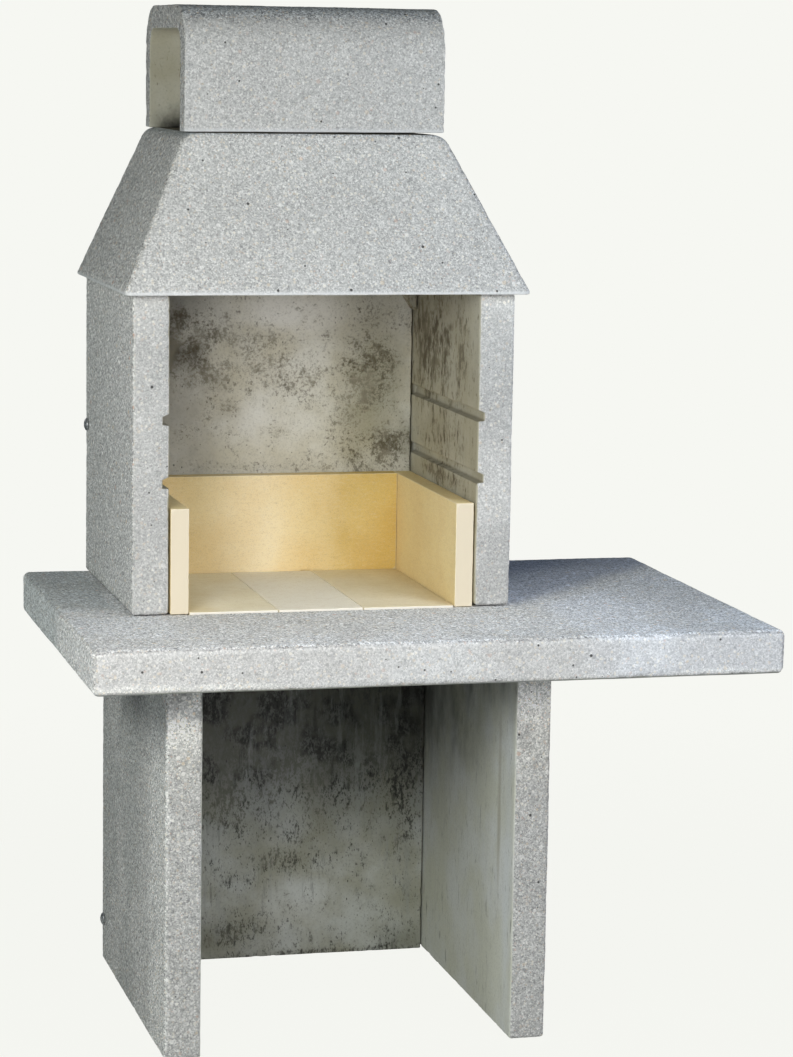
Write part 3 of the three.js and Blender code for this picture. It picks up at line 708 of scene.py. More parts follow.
BASE_PANEL = formed_concrete(
    "base_panel_cast", (0.70, 0.73, 0.71), (0.47, 0.47, 0.38), (0.030, 0.030, 0.027), 0.35,
    ((88.0, 4.0, 0.68, 0.215, 0.78), (200.0, 3.0, 0.66, 0.21, 0.68), (400.0, 2.0, 0.6, 0.17, 0.45)),
    drawn=0.5, runs=0.50, dirt=0.45, soak=0.42, damp_and_painted_shade=(0.14, 0.46, 0.90, (0.150, 0.152, 0.143)), paler_patches=(
        (-0.10, 0.255, 0.05, 0.05, 0.9), (0.02, 0.25, 0.04, 0.05, 0.8), (-0.07, 0.115, 0.10, 0.06, 1.0),
        (0.03, 0.09, 0.05, 0.05, 0.8),
    ), smoke_and_painted_light=(
        # painted shadow of the slab, at the top right
        (0.10, 0.56, 0.19, 0.10, 1.0, 0.010),
        (-0.27, 0.045, 0.07, 0.05, 0.2, 0.06),
        (-0.08, 0.090, 0.09, 0.05, 0.50, (0.84, 0.86, 0.83)),
        (0.135, 0.020, 0.07, 0.04, 0.50, (0.20, 0.20, 0.15)),
        (0.11, 0.27, 0.07, 0.10, 0.25, (0.30, 0.29, 0.18)),
    ), blooms=(
        (-0.15, 0.42, 0.06, 0.15, 0.9), (-0.22, 0.33, 0.06, 0.09, 0.7), (-0.02, 0.38, 0.06, 0.14, 0.75),
        (0.125, 0.36, 0.035, 0.15, 0.9), (0.06, 0.46, 0.10, 0.08, 0.9), (-0.24, 0.45, 0.06, 0.10, 0.8),
        (0.05, 0.33, 0.05, 0.06, 0.5), (-0.08, 0.235, 0.05, 0.03, 0.5), (-0.10, 0.185, 0.10, 0.025, 0.65),
        (-0.20, 0.155, 0.06, 0.03, 0.5), (-0.20, 0.05, 0.08, 0.035, 0.7), (0.00, 0.004, 0.30, 0.010, 0.7),
        (0.10, 0.05, 0.06, 0.03, 0.35),
    ))
low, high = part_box("base_back_panel")
panel = cast_block("base_back_panel_cast", low, high, PANEL_EDGE, PANEL_PITCH, formed=PANEL_FORMED)
bake_tree(panel, CAST_SURFACE, seed=21, washed_finish=BASE_PANEL, formed_finish=BASE_PANEL,
          gravel_per_square_metre=0.0)
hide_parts("base_back_panel")
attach(panel, "root")


# Worktop slab
# One cast slab, washed on top and round all four sides, with a shallow recess under the hearth for the floor
# plates. It lies loose on the base walls by its own weight.

SLAB_EDGE = 12 * MM
SLAB_PITCH = 6.2 * MM
RECESS_DEPTH = 29 * MM
RECESS_LIP = 0.4 * MM
SIDE_PLAY, END_PLAY = 1.0 * MM, 0.5 * MM

SLAB_TONES = (
    (0.0, (0.76, 0.77, 0.77)), (0.25, (0.44, 0.455, 0.47)), (0.44, (0.93, 0.93, 0.92)), (0.60, (0.30, 0.31, 0.33)),
    (0.74, (0.66, 0.56, 0.42)), (0.80, (0.66, 0.66, 0.66)), (0.90, (0.55, 0.40, 0.33)), (0.94, (0.16, 0.165, 0.17)),
)
# ways of the slab's painted light and shade: to the right and forward at once, to the slab's top, and to the part
# right of the hearth
ASLANT = (-1.05, 1.0, 0.0)
TOP_FACE = (UP, 0.744, 0.7475)
PAST_HEARTH = (RIGHT, 0.19, 0.21)
# painted light and shade: the front face is painted a little darker and its lower arc paler; the top is painted
# paler over all and more towards the front, and the slab's right front paler; the hearth's painted shadow lies on
# the slab to its right, deeper close by and towards the rear, and on the slab to its left, towards the rear
SLAB_PAINTED_LIGHT_AND_SHADE = (
    ((0.945, 0.935, 0.925), (REAR, -0.403, -0.409)),
    (1.05, (REAR, -0.26, -0.38), TOP_FACE),
    ((0.49, 0.53, 0.60), (ASLANT, -0.21, -0.01), PAST_HEARTH),
    ((1.35, 1.35, 1.33), (UP, 0.687, 0.675), (REAR, -0.38, -0.395)),
    ((0.68, 0.73, 0.84), (ASLANT, -0.355, -0.26), PAST_HEARTH),
    ((0.82, 0.85, 0.86), (REAR, -0.06, 0.03), (RIGHT, -0.48, -0.50)),
    ((1.08, 1.10, 1.14), (ASLANT, -0.30, -0.42), (RIGHT, 0.20, 0.30)),
    ((1.05, 1.06, 1.08), TOP_FACE),
    ((0.84, 0.85, 0.87), (REAR, 0.24, 0.34), PAST_HEARTH),
)
# rim paints the slab's arrises darker and flank its ends paler, as painted shade and light; its painted sky tint is
# weak
SLAB = washed_concrete("slab_concrete", (0.60, 0.61, 0.61), SLAB_TONES, lift=1.16, flank=1.16, painted_sky_tint=0.15,
                       wear=0.0, rim=0.80, gentle=0.62, painted_light_and_shade=SLAB_PAINTED_LIGHT_AND_SHADE)

plate_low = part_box("floor_firebrick_left")[0]
plate_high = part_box("floor_firebrick_right")[1]
recess = ((plate_low.x - SIDE_PLAY, plate_high.x + SIDE_PLAY), (plate_low.y - END_PLAY, plate_high.y + END_PLAY))
low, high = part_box("tabletop")
# a mesh line on each edge of the recess and one just inside it, so that its sides stand nearly upright
marks = [(start, start + RECESS_LIP, end - RECESS_LIP, end) for start, end in recess]
slab = cast_block("tabletop_cast", low, high, SLAB_EDGE, SLAB_PITCH, marks=(marks[0], marks[1], ()),
                  formed=((2, 0),))


def sink_recess(points):
    inside = points[:, 2] > high.z - 1 * MM
    for axis, (start, end) in enumerate(recess):
        inside &= (points[:, axis] > start + RECESS_LIP / 2) & (points[:, axis] < end - RECESS_LIP / 2)
    points[inside, 2] -= RECESS_DEPTH
    return points


move_points(slab, sink_recess)
bake_tree(slab, CAST_SURFACE, seed=31, washed_finish=SLAB, formed_finish=BASE_INSIDE, gravel_per_square_metre=2000.0)
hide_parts("tabletop")
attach(slab, "root")


# Hearth side walls
# Two more washed walls, smooth inside, that stand on the slab. Two grooves run along each inner face from front
# to rear, and hold the grate: a flat ledge below, and a flank above that flares towards the fire.

HEARTH_WALL_PITCH = 5.0 * MM
GROOVE_DEPTH = 11 * MM
SLAB_TOP = 748 * MM
GROOVE_LIFTS = (219 * MM, 328 * MM)
GROOVE_LEDGE = (-0.3 * MM, 1.1 * MM)
GROOVE_FLOOR = 15 * MM
GROOVE_MOUTH = 20 * MM
GROOVE_PAST = 15 * MM
GROOVE_STOP = 1 * MM

SOOTED = ((0.51, 0.50, 0.42), (0.43, 0.405, 0.305), (0.098, 0.080, 0.050))
# the black patch high up, inside the hood, is part soot and part painted shade, and the dark on faces that look up
# is part dirt and part painted shade
HEARTH_INSIDE = formed_concrete(
    "hearth_wall_inside", *SOOTED, 0.14, ((62.0, 4.0, 0.66, 0.22, 0.85), (140.0, 3.0, 0.64, 0.20, 0.60)), across=1,
    drawn=0.55, runs=0.07, dirt=0.40, soak=0.50, ledge=0.45, smoke_and_painted_light=((0.20, 1.62, 0.60, 0.14, 1.0, 0.010),), blooms=(
        (0.25, 1.19, 0.12, 0.11, 1.0), (0.12, 1.20, 0.08, 0.10, 0.9), (0.03, 1.19, 0.07, 0.10, 0.75),
        (0.14, 1.025, 0.13, 0.045, 0.7), (0.13, 0.952, 0.13, 0.018, 0.9), (0.20, 1.28, 0.18, 0.03, 0.7),
    ))

HEARTH_FRONT = (REAR, -0.092, -0.099)
RIGHT_WALL = (RIGHT, 0.10, 0.12)
# painted light and shade: the fronts are painted a little darker, and paler towards their tops under the hood; the
# right wall's front is painted paler above and darker below, and the faces to the sides paler
HEARTH_WASHED = washed_concrete("washed_hearth_concrete", flank=1.09, gentle=0.68, painted_light_and_shade=(
    (0.92, HEARTH_FRONT),
    (1.14, HEARTH_FRONT, (UP, 1.18, 1.28)),
    (1.16, HEARTH_FRONT, (UP, 1.26, 1.285), RIGHT_WALL),
    (1.08, HEARTH_FRONT, (UP, 1.05, 1.20), RIGHT_WALL),
    (0.94, HEARTH_FRONT, (UP, 1.05, 0.90), RIGHT_WALL),
))


def groove_profile(levels, bottom):
    """How deep the inner face is cut at each level."""
    depth = np.zeros_like(levels)
    for lift in GROOVE_LIFTS:
        rise = levels - bottom - lift
        ledge = np.clip((rise - GROOVE_LEDGE[0]) / (GROOVE_LEDGE[1] - GROOVE_LEDGE[0]), 0, 1)
        flank = np.clip((GROOVE_MOUTH - rise) / (GROOVE_MOUTH - GROOVE_FLOOR), 0, 1)
        depth = np.maximum(depth, GROOVE_DEPTH * np.minimum(ledge, flank))
    return depth


groove_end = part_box("hearth_back_panel")[0].y + GROOVE_PAST
# mesh lines at the ledge, in the middle of the groove, and along its flared flank
groove_levels = (*GROOVE_LEDGE, 8 * MM, GROOVE_FLOOR, (GROOVE_FLOOR + GROOVE_MOUTH) / 2, GROOVE_MOUTH)
groove_marks = [SLAB_TOP + lift + level for lift in GROOVE_LIFTS for level in groove_levels]
for side, inner in (("left", (0, 1)), ("right", (0, 0))):
    node = f"hearth_wall_{side}"
    low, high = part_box(node)
    wall = cast_block(f"{node}_cast", low, high, WALL_EDGE, HEARTH_WALL_PITCH, formed=(inner,),
                      marks=((), (groove_end, groove_end + GROOVE_STOP), groove_marks))
    outer_x = low.x if side == "left" else high.x
    thickness = high.x - low.x

    def cut_grooves(points):
        open_part = points[:, 1] < groove_end + GROOVE_STOP / 2
        share = 1 - groove_profile(points[:, 2], low.z) * open_part / thickness
        points[:, 0] = outer_x + (points[:, 0] - outer_x) * share
        return points

    move_points(wall, cut_grooves)
    seed = 41 if side == "left" else 42
    bake_tree(wall, CAST_SURFACE, seed=seed, washed_finish=HEARTH_WASHED, formed_finish=HEARTH_INSIDE)
    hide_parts(node)
    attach(wall, "root")


# Hearth rear panel
# Plain cast concrete again, between the hearth walls. Smoke and damp have mottled it brown to the left, along
# the right edge and in the middle. The darkening to the left and in its top left corner is part smoke and part
# painted shade, and the top middle is painted paler, as painted light.

HEARTH_PANEL = formed_concrete(
    "hearth_panel_cast", (0.78, 0.78, 0.73), (0.63, 0.605, 0.50), (0.092, 0.076, 0.044), 0.35,
    ((78.0, 5.0, 0.68, 0.215, 0.64), (170.0, 3.0, 0.66, 0.205, 0.60), (330.0, 2.0, 0.6, 0.18, 0.40)),
    # the first paler patch, at the top middle, is painted light
    drawn=0.9, dirt=0.55, soak=0.30, paler_patches=(
        (-0.12, 1.235, 0.13, 0.045, 1.0), (-0.09, 1.025, 0.12, 0.055, 0.9), (-0.20, 1.00, 0.08, 0.03, 0.6),
    # the four dark patches at the left are part soot and part painted shade, the two olive ones are soot, and the
    # last, pale one at the top middle is painted light
    ), smoke_and_painted_light=(
        (-0.355, 1.17, 0.055, 0.10, 0.75, (0.045, 0.042, 0.040)),
        (-0.33, 1.27, 0.11, 0.07, 0.7, (0.12, 0.12, 0.115)),
        (-0.35, 1.03, 0.14, 0.16, 0.60, (0.20, 0.19, 0.17)),
        (-0.305, 1.155, 0.055, 0.055, 0.55, (0.060, 0.056, 0.046)),
        (0.135, 0.985, 0.055, 0.065, 0.60, (0.14, 0.13, 0.07)),
        (0.055, 1.09, 0.08, 0.20, 0.60, (0.22, 0.21, 0.12)),
        (-0.09, 1.235, 0.16, 0.055, 0.70, (0.96, 0.95, 0.90)),
    ), blooms=(
        (-0.33, 1.17, 0.08, 0.07, 1.0), (-0.27, 1.195, 0.055, 0.035, 0.9), (-0.26, 1.122, 0.07, 0.035, 0.9),
        (-0.175, 1.18, 0.08, 0.03, 0.8), (-0.15, 1.13, 0.075, 0.04, 0.65), (-0.09, 1.11, 0.06, 0.04, 0.75),
        (-0.07, 1.07, 0.045, 0.025, 0.5), (-0.232, 1.06, 0.035, 0.015, 0.6), (0.035, 1.11, 0.055, 0.09, 0.85),
        (0.05, 1.21, 0.05, 0.06, 0.55), (0.00, 1.03, 0.035, 0.09, 0.6), (0.08, 0.972, 0.06, 0.05, 0.95),
        (-0.10, 0.943, 0.28, 0.012, 0.45),
    ))
low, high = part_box("hearth_back_panel")
panel = cast_block("hearth_back_panel_cast", low, high, PANEL_EDGE, PANEL_PITCH, formed=PANEL_FORMED)
bake_tree(panel, CAST_SURFACE, seed=51, washed_finish=HEARTH_PANEL, formed_finish=HEARTH_PANEL,
          gravel_per_square_metre=0.0)
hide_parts("hearth_back_panel")
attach(panel, "root")


# Firebrick lining
# Pressed boards of pale fired clay: one at each side, one at the rear, and three floor plates in the slab's
# recess. They lie and stand loose, with open joints. Their sawn front edges are paler than their faces.

BRICK_EDGE = 1.5 * MM
BRICK_PITCH = 7 * MM
REAR_BOARD_REACH = 0.8 * MM
REAR_BOARD_EDGE = 0.4 * BRICK_EDGE


def fired_clay(name, face, deep, sawn, tone_and_shade_drift=()):
    """Pressed clay: sandy, a little cloudy, with darker and paler grains. Its tone may shift from left to right, as
    stops of (place, tint) that carry painted light and shade too; the sawn front edges have their own colour."""
    material, recipe = new_finish(name)
    place = recipe.place()
    clouds = recipe.ease(recipe.noise(place, 9.0, 3.0), 0.3, 0.7)
    recipe.colour = recipe.blend(clouds, face, deep)
    # tone, painted light and painted shade from left to right
    if tone_and_shade_drift:
        # a ramp holds no tone above 1, so it carries half the tint
        first, last = tone_and_shade_drift[0][0], tone_and_shade_drift[-1][0]
        across = (recipe.split(place)[0] - first) / (last - first) + 0.3 * (recipe.noise(place, 6.0) - 0.5)
        stops = tuple(((x - first) / (last - first), tuple(0.5 * c for c in tint)) for x, tint in tone_and_shade_drift)
        recipe.shade(1.0, recipe.ramp(across, stops, "EASE"))
        recipe.shade(1.0, 2.0)
    _, (r, g, _) = recipe.cells(place, 900.0)
    recipe.lay((g > 0.8) * 0.12, (0.95, 0.90, 0.78))
    recipe.lay((r > 0.86) * 0.22, (0.45, 0.34, 0.20))
    specks = recipe.ease(recipe.noise(place, 160.0, 3.0, 0.7), 0.62, 0.72)
    recipe.lay(specks * 0.25, (0.50, 0.38, 0.20))
    # the press leaves long fine lines, and handling leaves a few pale scuffs
    pressed = recipe.noise(recipe.stretch(place, 0.3, 0.3, 1.0), 230.0, 3.0, 0.6)
    recipe.lay(recipe.ease(pressed, 0.5, 0.75) * 0.16, (0.55, 0.42, 0.22))
    recipe.lay(recipe.ease(pressed, 0.48, 0.28) * 0.12, (0.97, 0.92, 0.80))
    scuff = recipe.ease(recipe.noise(recipe.stretch(place, 0.6, 0.6, 1.2), 60.0, 4.0, 0.7), 0.70, 0.80)
    recipe.lay(scuff * 0.35, (0.93, 0.92, 0.86))
    if sawn:
        recipe.lay(recipe.ease(0.0 - recipe.facing()[1], 0.7, 0.95), sawn)
    edge = recipe.noted("near_edge")
    recipe.lay(recipe.ease(edge, 0.7, 1.0) * 0.4, (0.90, 0.84, 0.70))
    height = recipe.noise(place, 420.0) * 0.5 - specks
    rough = 0.8 + 0.15 * recipe.noise(place, 200.0, 1.0)
    recipe.dress({"Roughness": rough, "Specular IOR Level": 0.25}, height, 0.3, 0.0004)
    return material


SIDE_CLAY = fired_clay("firebrick_side", (0.88, 0.73, 0.40), (0.84, 0.67, 0.35), (0.69, 0.61, 0.465))
# the rear board is painted paler in its middle and darker at its left end, as painted light and shade, and its right
# end is a warmer tone
REAR_CLAY = fired_clay("firebrick_rear", (0.85, 0.69, 0.40), (0.80, 0.61, 0.31), None, tone_and_shade_drift=(
    (-0.40, (0.94, 0.93, 0.90)), (-0.30, (1.0, 1.02, 1.0)), (-0.16, (1.19, 1.27, 1.48)),
    (-0.05, (1.08, 1.08, 1.02)), (0.02, (0.99, 0.935, 0.66)), (0.095, (0.96, 0.89, 0.51)),
))
FLOOR_SAWN = (0.76, 0.73, 0.655)
# painted shade: the left plate is darker at its left end and the right plate at its right end, as painted shadow of
# the side boards
FLOOR_LEFT_CLAY = fired_clay("firebrick_floor_left", (0.92, 0.87, 0.70), (0.85, 0.78, 0.575), FLOOR_SAWN, tone_and_shade_drift=(
    (-0.38, (0.86, 0.82, 0.72)), (-0.29, WHITE), (-0.22, (1.02, 1.02, 1.03)),
))
FLOOR_MIDDLE_CLAY = fired_clay("firebrick_floor_middle", (0.92, 0.885, 0.77), (0.89, 0.85, 0.73), FLOOR_SAWN)
FLOOR_RIGHT_CLAY = fired_clay("firebrick_floor_right", (0.87, 0.80, 0.62), (0.82, 0.74, 0.53), FLOOR_SAWN, tone_and_shade_drift=(
    (-0.07, (1.02, 1.02, 1.03)), (0.03, (1.0, 0.99, 0.96)), (0.095, (0.87, 0.81, 0.69)),
))

BRICKS = {
    "side_firebrick_left": (SIDE_CLAY, "firebrick"),
    "side_firebrick_right": (SIDE_CLAY, "firebrick"),
    "back_firebrick": (REAR_CLAY, "firebrick_rear"),
    "floor_firebrick_left": (FLOOR_LEFT_CLAY, "firebrick"),
    "floor_firebrick_middle": (FLOOR_MIDDLE_CLAY, "firebrick"),
    "floor_firebrick_right": (FLOOR_RIGHT_CLAY, "firebrick"),
}
for number, (node, (clay, slot)) in enumerate(BRICKS.items()):
    low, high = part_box(node)
    edge = BRICK_EDGE
    if node == "back_firebrick":
        low.x, high.x, edge = low.x - REAR_BOARD_REACH, high.x + REAR_BOARD_REACH, REAR_BOARD_EDGE
    board = cast_block(f"{node}_board", low, high, edge, BRICK_PITCH)
    bake_tree(board, CAST_SURFACE, seed=61 + number, washed_finish=clay, formed_finish=clay, wave_height=0.0003,
              grit_height=0.0001, chip_depth=0.0006, gravel_per_square_metre=0.0, skin_depth=0.0001)
    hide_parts(node)
    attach(board, "root")


# Smoke hood
# A hollow pyramid of washed concrete that narrows to the flue, with a short upright lip at its foot. It rests on
# the hearth walls, and two wedges cast under its rear corners hang between them and keep it in place.

# painted light: the front slope is painted a little paler towards its top, and flank paints the sides darker
HOOD_WASHED = washed_concrete("washed_hood_concrete", lift=1.09, flank=0.92, painted_light_and_shade=(
    (1.07, (UP, 1.44, 1.54), (REAR, 0.02, 0.01)),
))

HOOD_HEIGHT = 270 * MM
HOOD_LIP = 6 * MM
HOOD_FOOT = 2 * MM
HOOD_CORNER = 12 * MM
HOOD_INNER_CORNER = 20 * MM
HOOD_WALL = 45 * MM
SIDE_SHOULDER = 28 * MM
FRONT_SHOULDER = 8 * MM
HOOD_RIM = 4 * MM
HOOD_PITCH = 5.6 * MM
CORNER_STEPS = 6
RIM_ROWS = 6
INNER_ROWS = 14

hood_low, hood_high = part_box("hood")
hood_foot = hood_high.z - HOOD_HEIGHT
cap_low, cap_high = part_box("chimney_cap")
hood_middle = (hood_low.x + hood_high.x) / 2
hood_top_half = (cap_high.x - cap_low.x) / 2
hood_top_front, hood_top_rear = cap_low.y - HOOD_RIM, cap_high.y + HOOD_RIM
side_total = (hood_high.x - hood_low.x) / 2 - hood_top_half
front_total = hood_top_front - hood_low.y
rear_total = hood_high.y - hood_top_rear


def face_inset(total, shoulder, height):
    """How far a face has moved in at a given height: up its slope, then round its shoulder."""
    if height <= HOOD_LIP:
        return 0.0
    lean = math.atan2(total, HOOD_HEIGHT - HOOD_LIP)
    centre = HOOD_HEIGHT - shoulder
    if height <= centre + shoulder * math.sin(lean):
        return (height - HOOD_LIP) * math.tan(lean)
    tangent = shoulder * (1 - math.sin(lean)) / math.cos(lean)
    rise = min(height - centre, shoulder)
    return total + tangent - math.sqrt(max(0.0, shoulder * shoulder - rise * rise))


def level_ring(left, right, front, rear, radius, height):
    """A level ring with rounded corners, anticlockwise from the right front corner."""
    def on_corner(x, y, degrees):
        return x + radius * math.cos(math.radians(degrees)), y + radius * math.sin(math.radians(degrees))

    wide = round((hood_high.x - hood_low.x) / HOOD_PITCH)
    deep = round((hood_high.y - hood_low.y) / HOOD_PITCH)
    corners = [(right - radius, front + radius, -90, deep), (right - radius, rear - radius, 0, wide),
               (left + radius, rear - radius, 90, deep), (left + radius, front + radius, 180, wide)]
    ring = []
    for index, (x, y, start, count) in enumerate(corners):
        ring += [on_corner(x, y, start + 90 * step / CORNER_STEPS) for step in range(CORNER_STEPS + 1)]
        here, ahead = ring[-1], on_corner(*corners[(index + 1) % 4][:3])
        ring += [[a + (b - a) * step / count for a, b in zip(here, ahead)] for step in range(1, count)]
    return np.array([(x, y, height) for x, y in ring])


def hood_outer(height):
    side = (hood_high.x - hood_low.x) / 2 - face_inset(side_total, SIDE_SHOULDER, height)
    front = hood_low.y + face_inset(front_total, FRONT_SHOULDER, height)
    rear = hood_high.y - face_inset(rear_total, FRONT_SHOULDER, height)
    short = max(HOOD_FOOT - height, 0.0)
    tuck = HOOD_FOOT - math.sqrt(HOOD_FOOT * HOOD_FOOT - short * short)
    return level_ring(hood_middle - side + tuck, hood_middle + side - tuck, front + tuck, rear - tuck, HOOD_CORNER,
                      hood_foot + height)


def hood_inner(share):
    half = side_total * (1 - share) + hood_top_half - HOOD_WALL
    front = hood_low.y + front_total * share + HOOD_WALL
    rear = hood_high.y - rear_total * share - HOOD_WALL
    return level_ring(hood_middle - half, hood_middle + half, front, rear, HOOD_INNER_CORNER,
                      hood_foot + HOOD_HEIGHT * share)


# levels of the rings: up the lip and the slope, then close together round the shoulders
heights = [0, 0.5 * MM, 1.0 * MM, HOOD_FOOT, 4 * MM, HOOD_LIP]
slope_top = HOOD_HEIGHT - SIDE_SHOULDER * (1 - math.sin(math.atan2(side_total, HOOD_HEIGHT - HOOD_LIP)))
rows = round((slope_top - HOOD_LIP) / (0.9 * HOOD_PITCH))
heights += [HOOD_LIP + (slope_top - HOOD_LIP) * (i + 1) / rows for i in range(rows)]
for shoulder, first, step in ((SIDE_SHOULDER, 40, 5), (FRONT_SHOULDER, 30, 10)):
    heights += [HOOD_HEIGHT - shoulder + shoulder * math.sin(math.radians(d)) for d in range(first, 91, step)]
heights = sorted({round(h, 6) for h in heights})
heights = [h for i, h in enumerate(heights) if i == 0 or h - heights[i - 1] > 0.2 * MM]
# up the outside, across the top, down the inside, and back out under the foot
outer_rings = [hood_outer(h) for h in heights]
inner_rings = [hood_inner(1 - i / INNER_ROWS) for i in range(INNER_ROWS + 1)]


def rings_between(first, last):
    return [first + (last - first) * i / RIM_ROWS for i in range(1, RIM_ROWS)]


rings = (outer_rings + rings_between(outer_rings[-1], inner_rings[0]) + inner_rings
         + rings_between(inner_rings[-1], outer_rings[0]))
around = len(rings[0])
faces = []
for row in range(len(rings)):
    ahead = (row + 1) % len(rings)
    faces += [(row * around + i, row * around + (i + 1) % around, ahead * around + (i + 1) % around,
               ahead * around + i) for i in range(around)]
hood = solid_piece("hood_cast", np.concatenate(rings), faces)
near_edge, smooth_lip = np.zeros(len(hood.data.vertices)), np.zeros(len(hood.data.vertices))
for row, (h, ring) in enumerate(zip(heights, outer_rings)):
    band = slice(row * around, (row + 1) * around)
    to_side, to_face = (np.minimum(ring[:, axis] - ring[:, axis].min(), ring[:, axis].max() - ring[:, axis])
                        for axis in (0, 1))
    corner = np.clip(1 - np.maximum(to_side, to_face) / (2 * EDGE_REACH), 0, 1)
    near_edge[band] = np.maximum(corner, max(0.0, 1 - h / EDGE_REACH))
    smooth_lip[band] = 1.0 if h < HOOD_LIP else 0.35 if h < HOOD_LIP + 1 * MM else 0.0
# the flat top, the inside and the underside lay in the mould
formed = np.zeros(len(faces), bool)
formed[(len(outer_rings) - 1) * around:] = True
note_points(hood, "near_edge", near_edge)
note_points(hood, "smooth_lip", smooth_lip)
note_faces(hood, formed)
bake_tree(hood, CAST_SURFACE, seed=71, washed_finish=HOOD_WASHED, formed_finish=HEARTH_INSIDE)
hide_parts("hood")
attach(hood, "root")

LUG_NEAR, LUG_FAR = 223.5 * MM, 271.5 * MM
LUG_TIP = 6 * MM
LUG_DROP = 63 * MM
LUG_ROOT = 56 * MM
LUG_FRONT, LUG_REAR, LUG_ROOT_REAR = 320 * MM, 350 * MM, 362 * MM
LUG_BITE = 8 * MM
LUG_EDGE = 2.5 * MM
LUG_PITCH = 6 * MM
ALL_FACES = tuple((axis, end) for axis in range(3) for end in (0, 1))


def taper_lug(points):
    """From a block to the wedge that hangs down, and its root that fills the hood's corner above."""
    out, y, z = points.T
    below = np.clip((hood_foot - z) / LUG_DROP, 0, 1)
    above = np.clip((z - hood_foot) / HOOD_HEIGHT, 0, 1)
    near = LUG_NEAR + (LUG_FAR - LUG_TIP - LUG_NEAR) * below
    wall = side_total * (1 - above) + hood_top_half - HOOD_WALL + LUG_BITE
    far = np.where(z > hood_foot, wall, LUG_FAR)
    rear = np.where(z > hood_foot, LUG_ROOT_REAR, LUG_REAR)
    x = near + (far - near) * (out - LUG_NEAR) / (LUG_FAR - LUG_NEAR)
    y = LUG_FRONT + (rear - LUG_FRONT) * (y - LUG_FRONT) / (LUG_REAR - LUG_FRONT)
    return np.stack([hood_middle + toward * x, y, z], 1)


for side, toward in (("left", -1), ("right", 1)):
    lug = cast_block(f"hood_lug_{side}", (LUG_NEAR, LUG_FRONT, hood_foot - LUG_DROP),
                     (LUG_FAR, LUG_REAR, hood_foot + LUG_ROOT), LUG_EDGE, LUG_PITCH,
                     marks=((), (), (hood_foot - 0.3 * MM, hood_foot + 0.3 * MM)), formed=ALL_FACES)
    move_points(lug, taper_lug)
    if toward < 0:
        lug.data.flip_normals()
    bake_tree(lug, CAST_SURFACE, seed=72, washed_finish=WASHED, formed_finish=HEARTH_INSIDE)
    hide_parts("hood")
    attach(lug, "root")


# Chimney cap
# An upside-down U of washed concrete, 42 mm thick and open at both ends, that stands on the hood over the flue.
# Its feet don't sit quite flat: the right end stands a little clear of the hood. Soot has blackened its inside,
# and the black along the foot of its inside, deepest at the left, is part soot and part painted shadow.

CAP_SHELL = 42 * MM
CAP_BEND = 75 * MM
CAP_EDGE = 3.5 * MM
CAP_PITCH = 5.5 * MM
CAP_TILT = 2.6 * MM
CAP_TILT_REACH = 60 * MM
CAP_SEAT = 1 * MM
FRONT_JOINT = 0.8 * MM
CAP_LIP = 5 * MM

# the patches along the foot, deepest at the left, are part soot and part painted shadow where the cap meets the hood
CAP_INSIDE = formed_concrete("cap_inside", *SOOTED, 0.20, FINE_SPECKS, drawn=0.55, dirt=0.12, smoke_and_painted_light=(
    (-0.265, 1.558, 0.105, 0.050, 1.0, 0.012),
    (-0.300, 1.564, 0.055, 0.032, 1.0, 0.006),
    (-0.310, 1.568, 0.040, 0.018, 1.0, 0.004),
    (-0.10, 1.560, 0.30, 0.060, 1.0, 0.012),
))

leg = (cap_high.z - cap_low.z) - CAP_BEND
crown = (cap_high.y - cap_low.y) - 2 * CAP_BEND
bend_length = math.pi / 2 * (CAP_BEND - CAP_SHELL / 2)
whole = 2 * leg + 2 * bend_length + crown
cap_middle = (cap_low.y + cap_high.y) / 2
cap = cast_block("chimney_cap_cast", (cap_low.x, -CAP_SHELL / 2, 0.0), (cap_high.x, CAP_SHELL / 2, whole),
                 CAP_EDGE, CAP_PITCH, formed=((1, 1),))


def foot_lift(x, y):
    """How far a foot stands off the hood: the front one all along, and the rear one, whose left end is seated in
    the hood's top, towards the right."""
    share = np.clip((x - cap_low.x) / (cap_high.x - cap_low.x), 0, 1)
    return np.where(y > cap_middle, (CAP_TILT + CAP_SEAT) * share - CAP_SEAT,
                    FRONT_JOINT + (CAP_TILT - FRONT_JOINT) * share)


def bend_cap(points):
    """Bends the straight strip into the upside-down U: up the front leg, over, and down the rear leg."""
    x, out, along = points[:, 0], -points[:, 1], points[:, 2]
    middle = CAP_BEND - CAP_SHELL / 2
    y, z = np.empty_like(out), np.empty_like(out)
    stops = np.cumsum([leg, bend_length, crown, bend_length])
    front, first, top, second = (along < stops[0], along < stops[1], along < stops[2], along < stops[3])
    part = front
    y[part] = cap_low.y + CAP_SHELL / 2 - out[part]
    z[part] = cap_low.z + along[part]
    part = ~front & first
    angle = (along[part] - stops[0]) / middle
    y[part] = cap_low.y + CAP_BEND - (middle + out[part]) * np.cos(angle)
    z[part] = cap_low.z + leg + (middle + out[part]) * np.sin(angle)
    part = ~first & top
    y[part] = cap_low.y + CAP_BEND + along[part] - stops[1]
    z[part] = cap_high.z - CAP_SHELL / 2 + out[part]
    part = ~top & second
    angle = (along[part] - stops[2]) / middle
    y[part] = cap_high.y - CAP_BEND + (middle + out[part]) * np.sin(angle)
    z[part] = cap_low.z + leg + (middle + out[part]) * np.cos(angle)
    part = ~second
    y[part] = cap_high.y - CAP_SHELL / 2 + out[part]
    z[part] = cap_low.z + whole - along[part]
    z += foot_lift(x, y) * np.clip(1 - (z - cap_low.z) / CAP_TILT_REACH, 0, 1)
    return np.stack([x, y, z], 1)


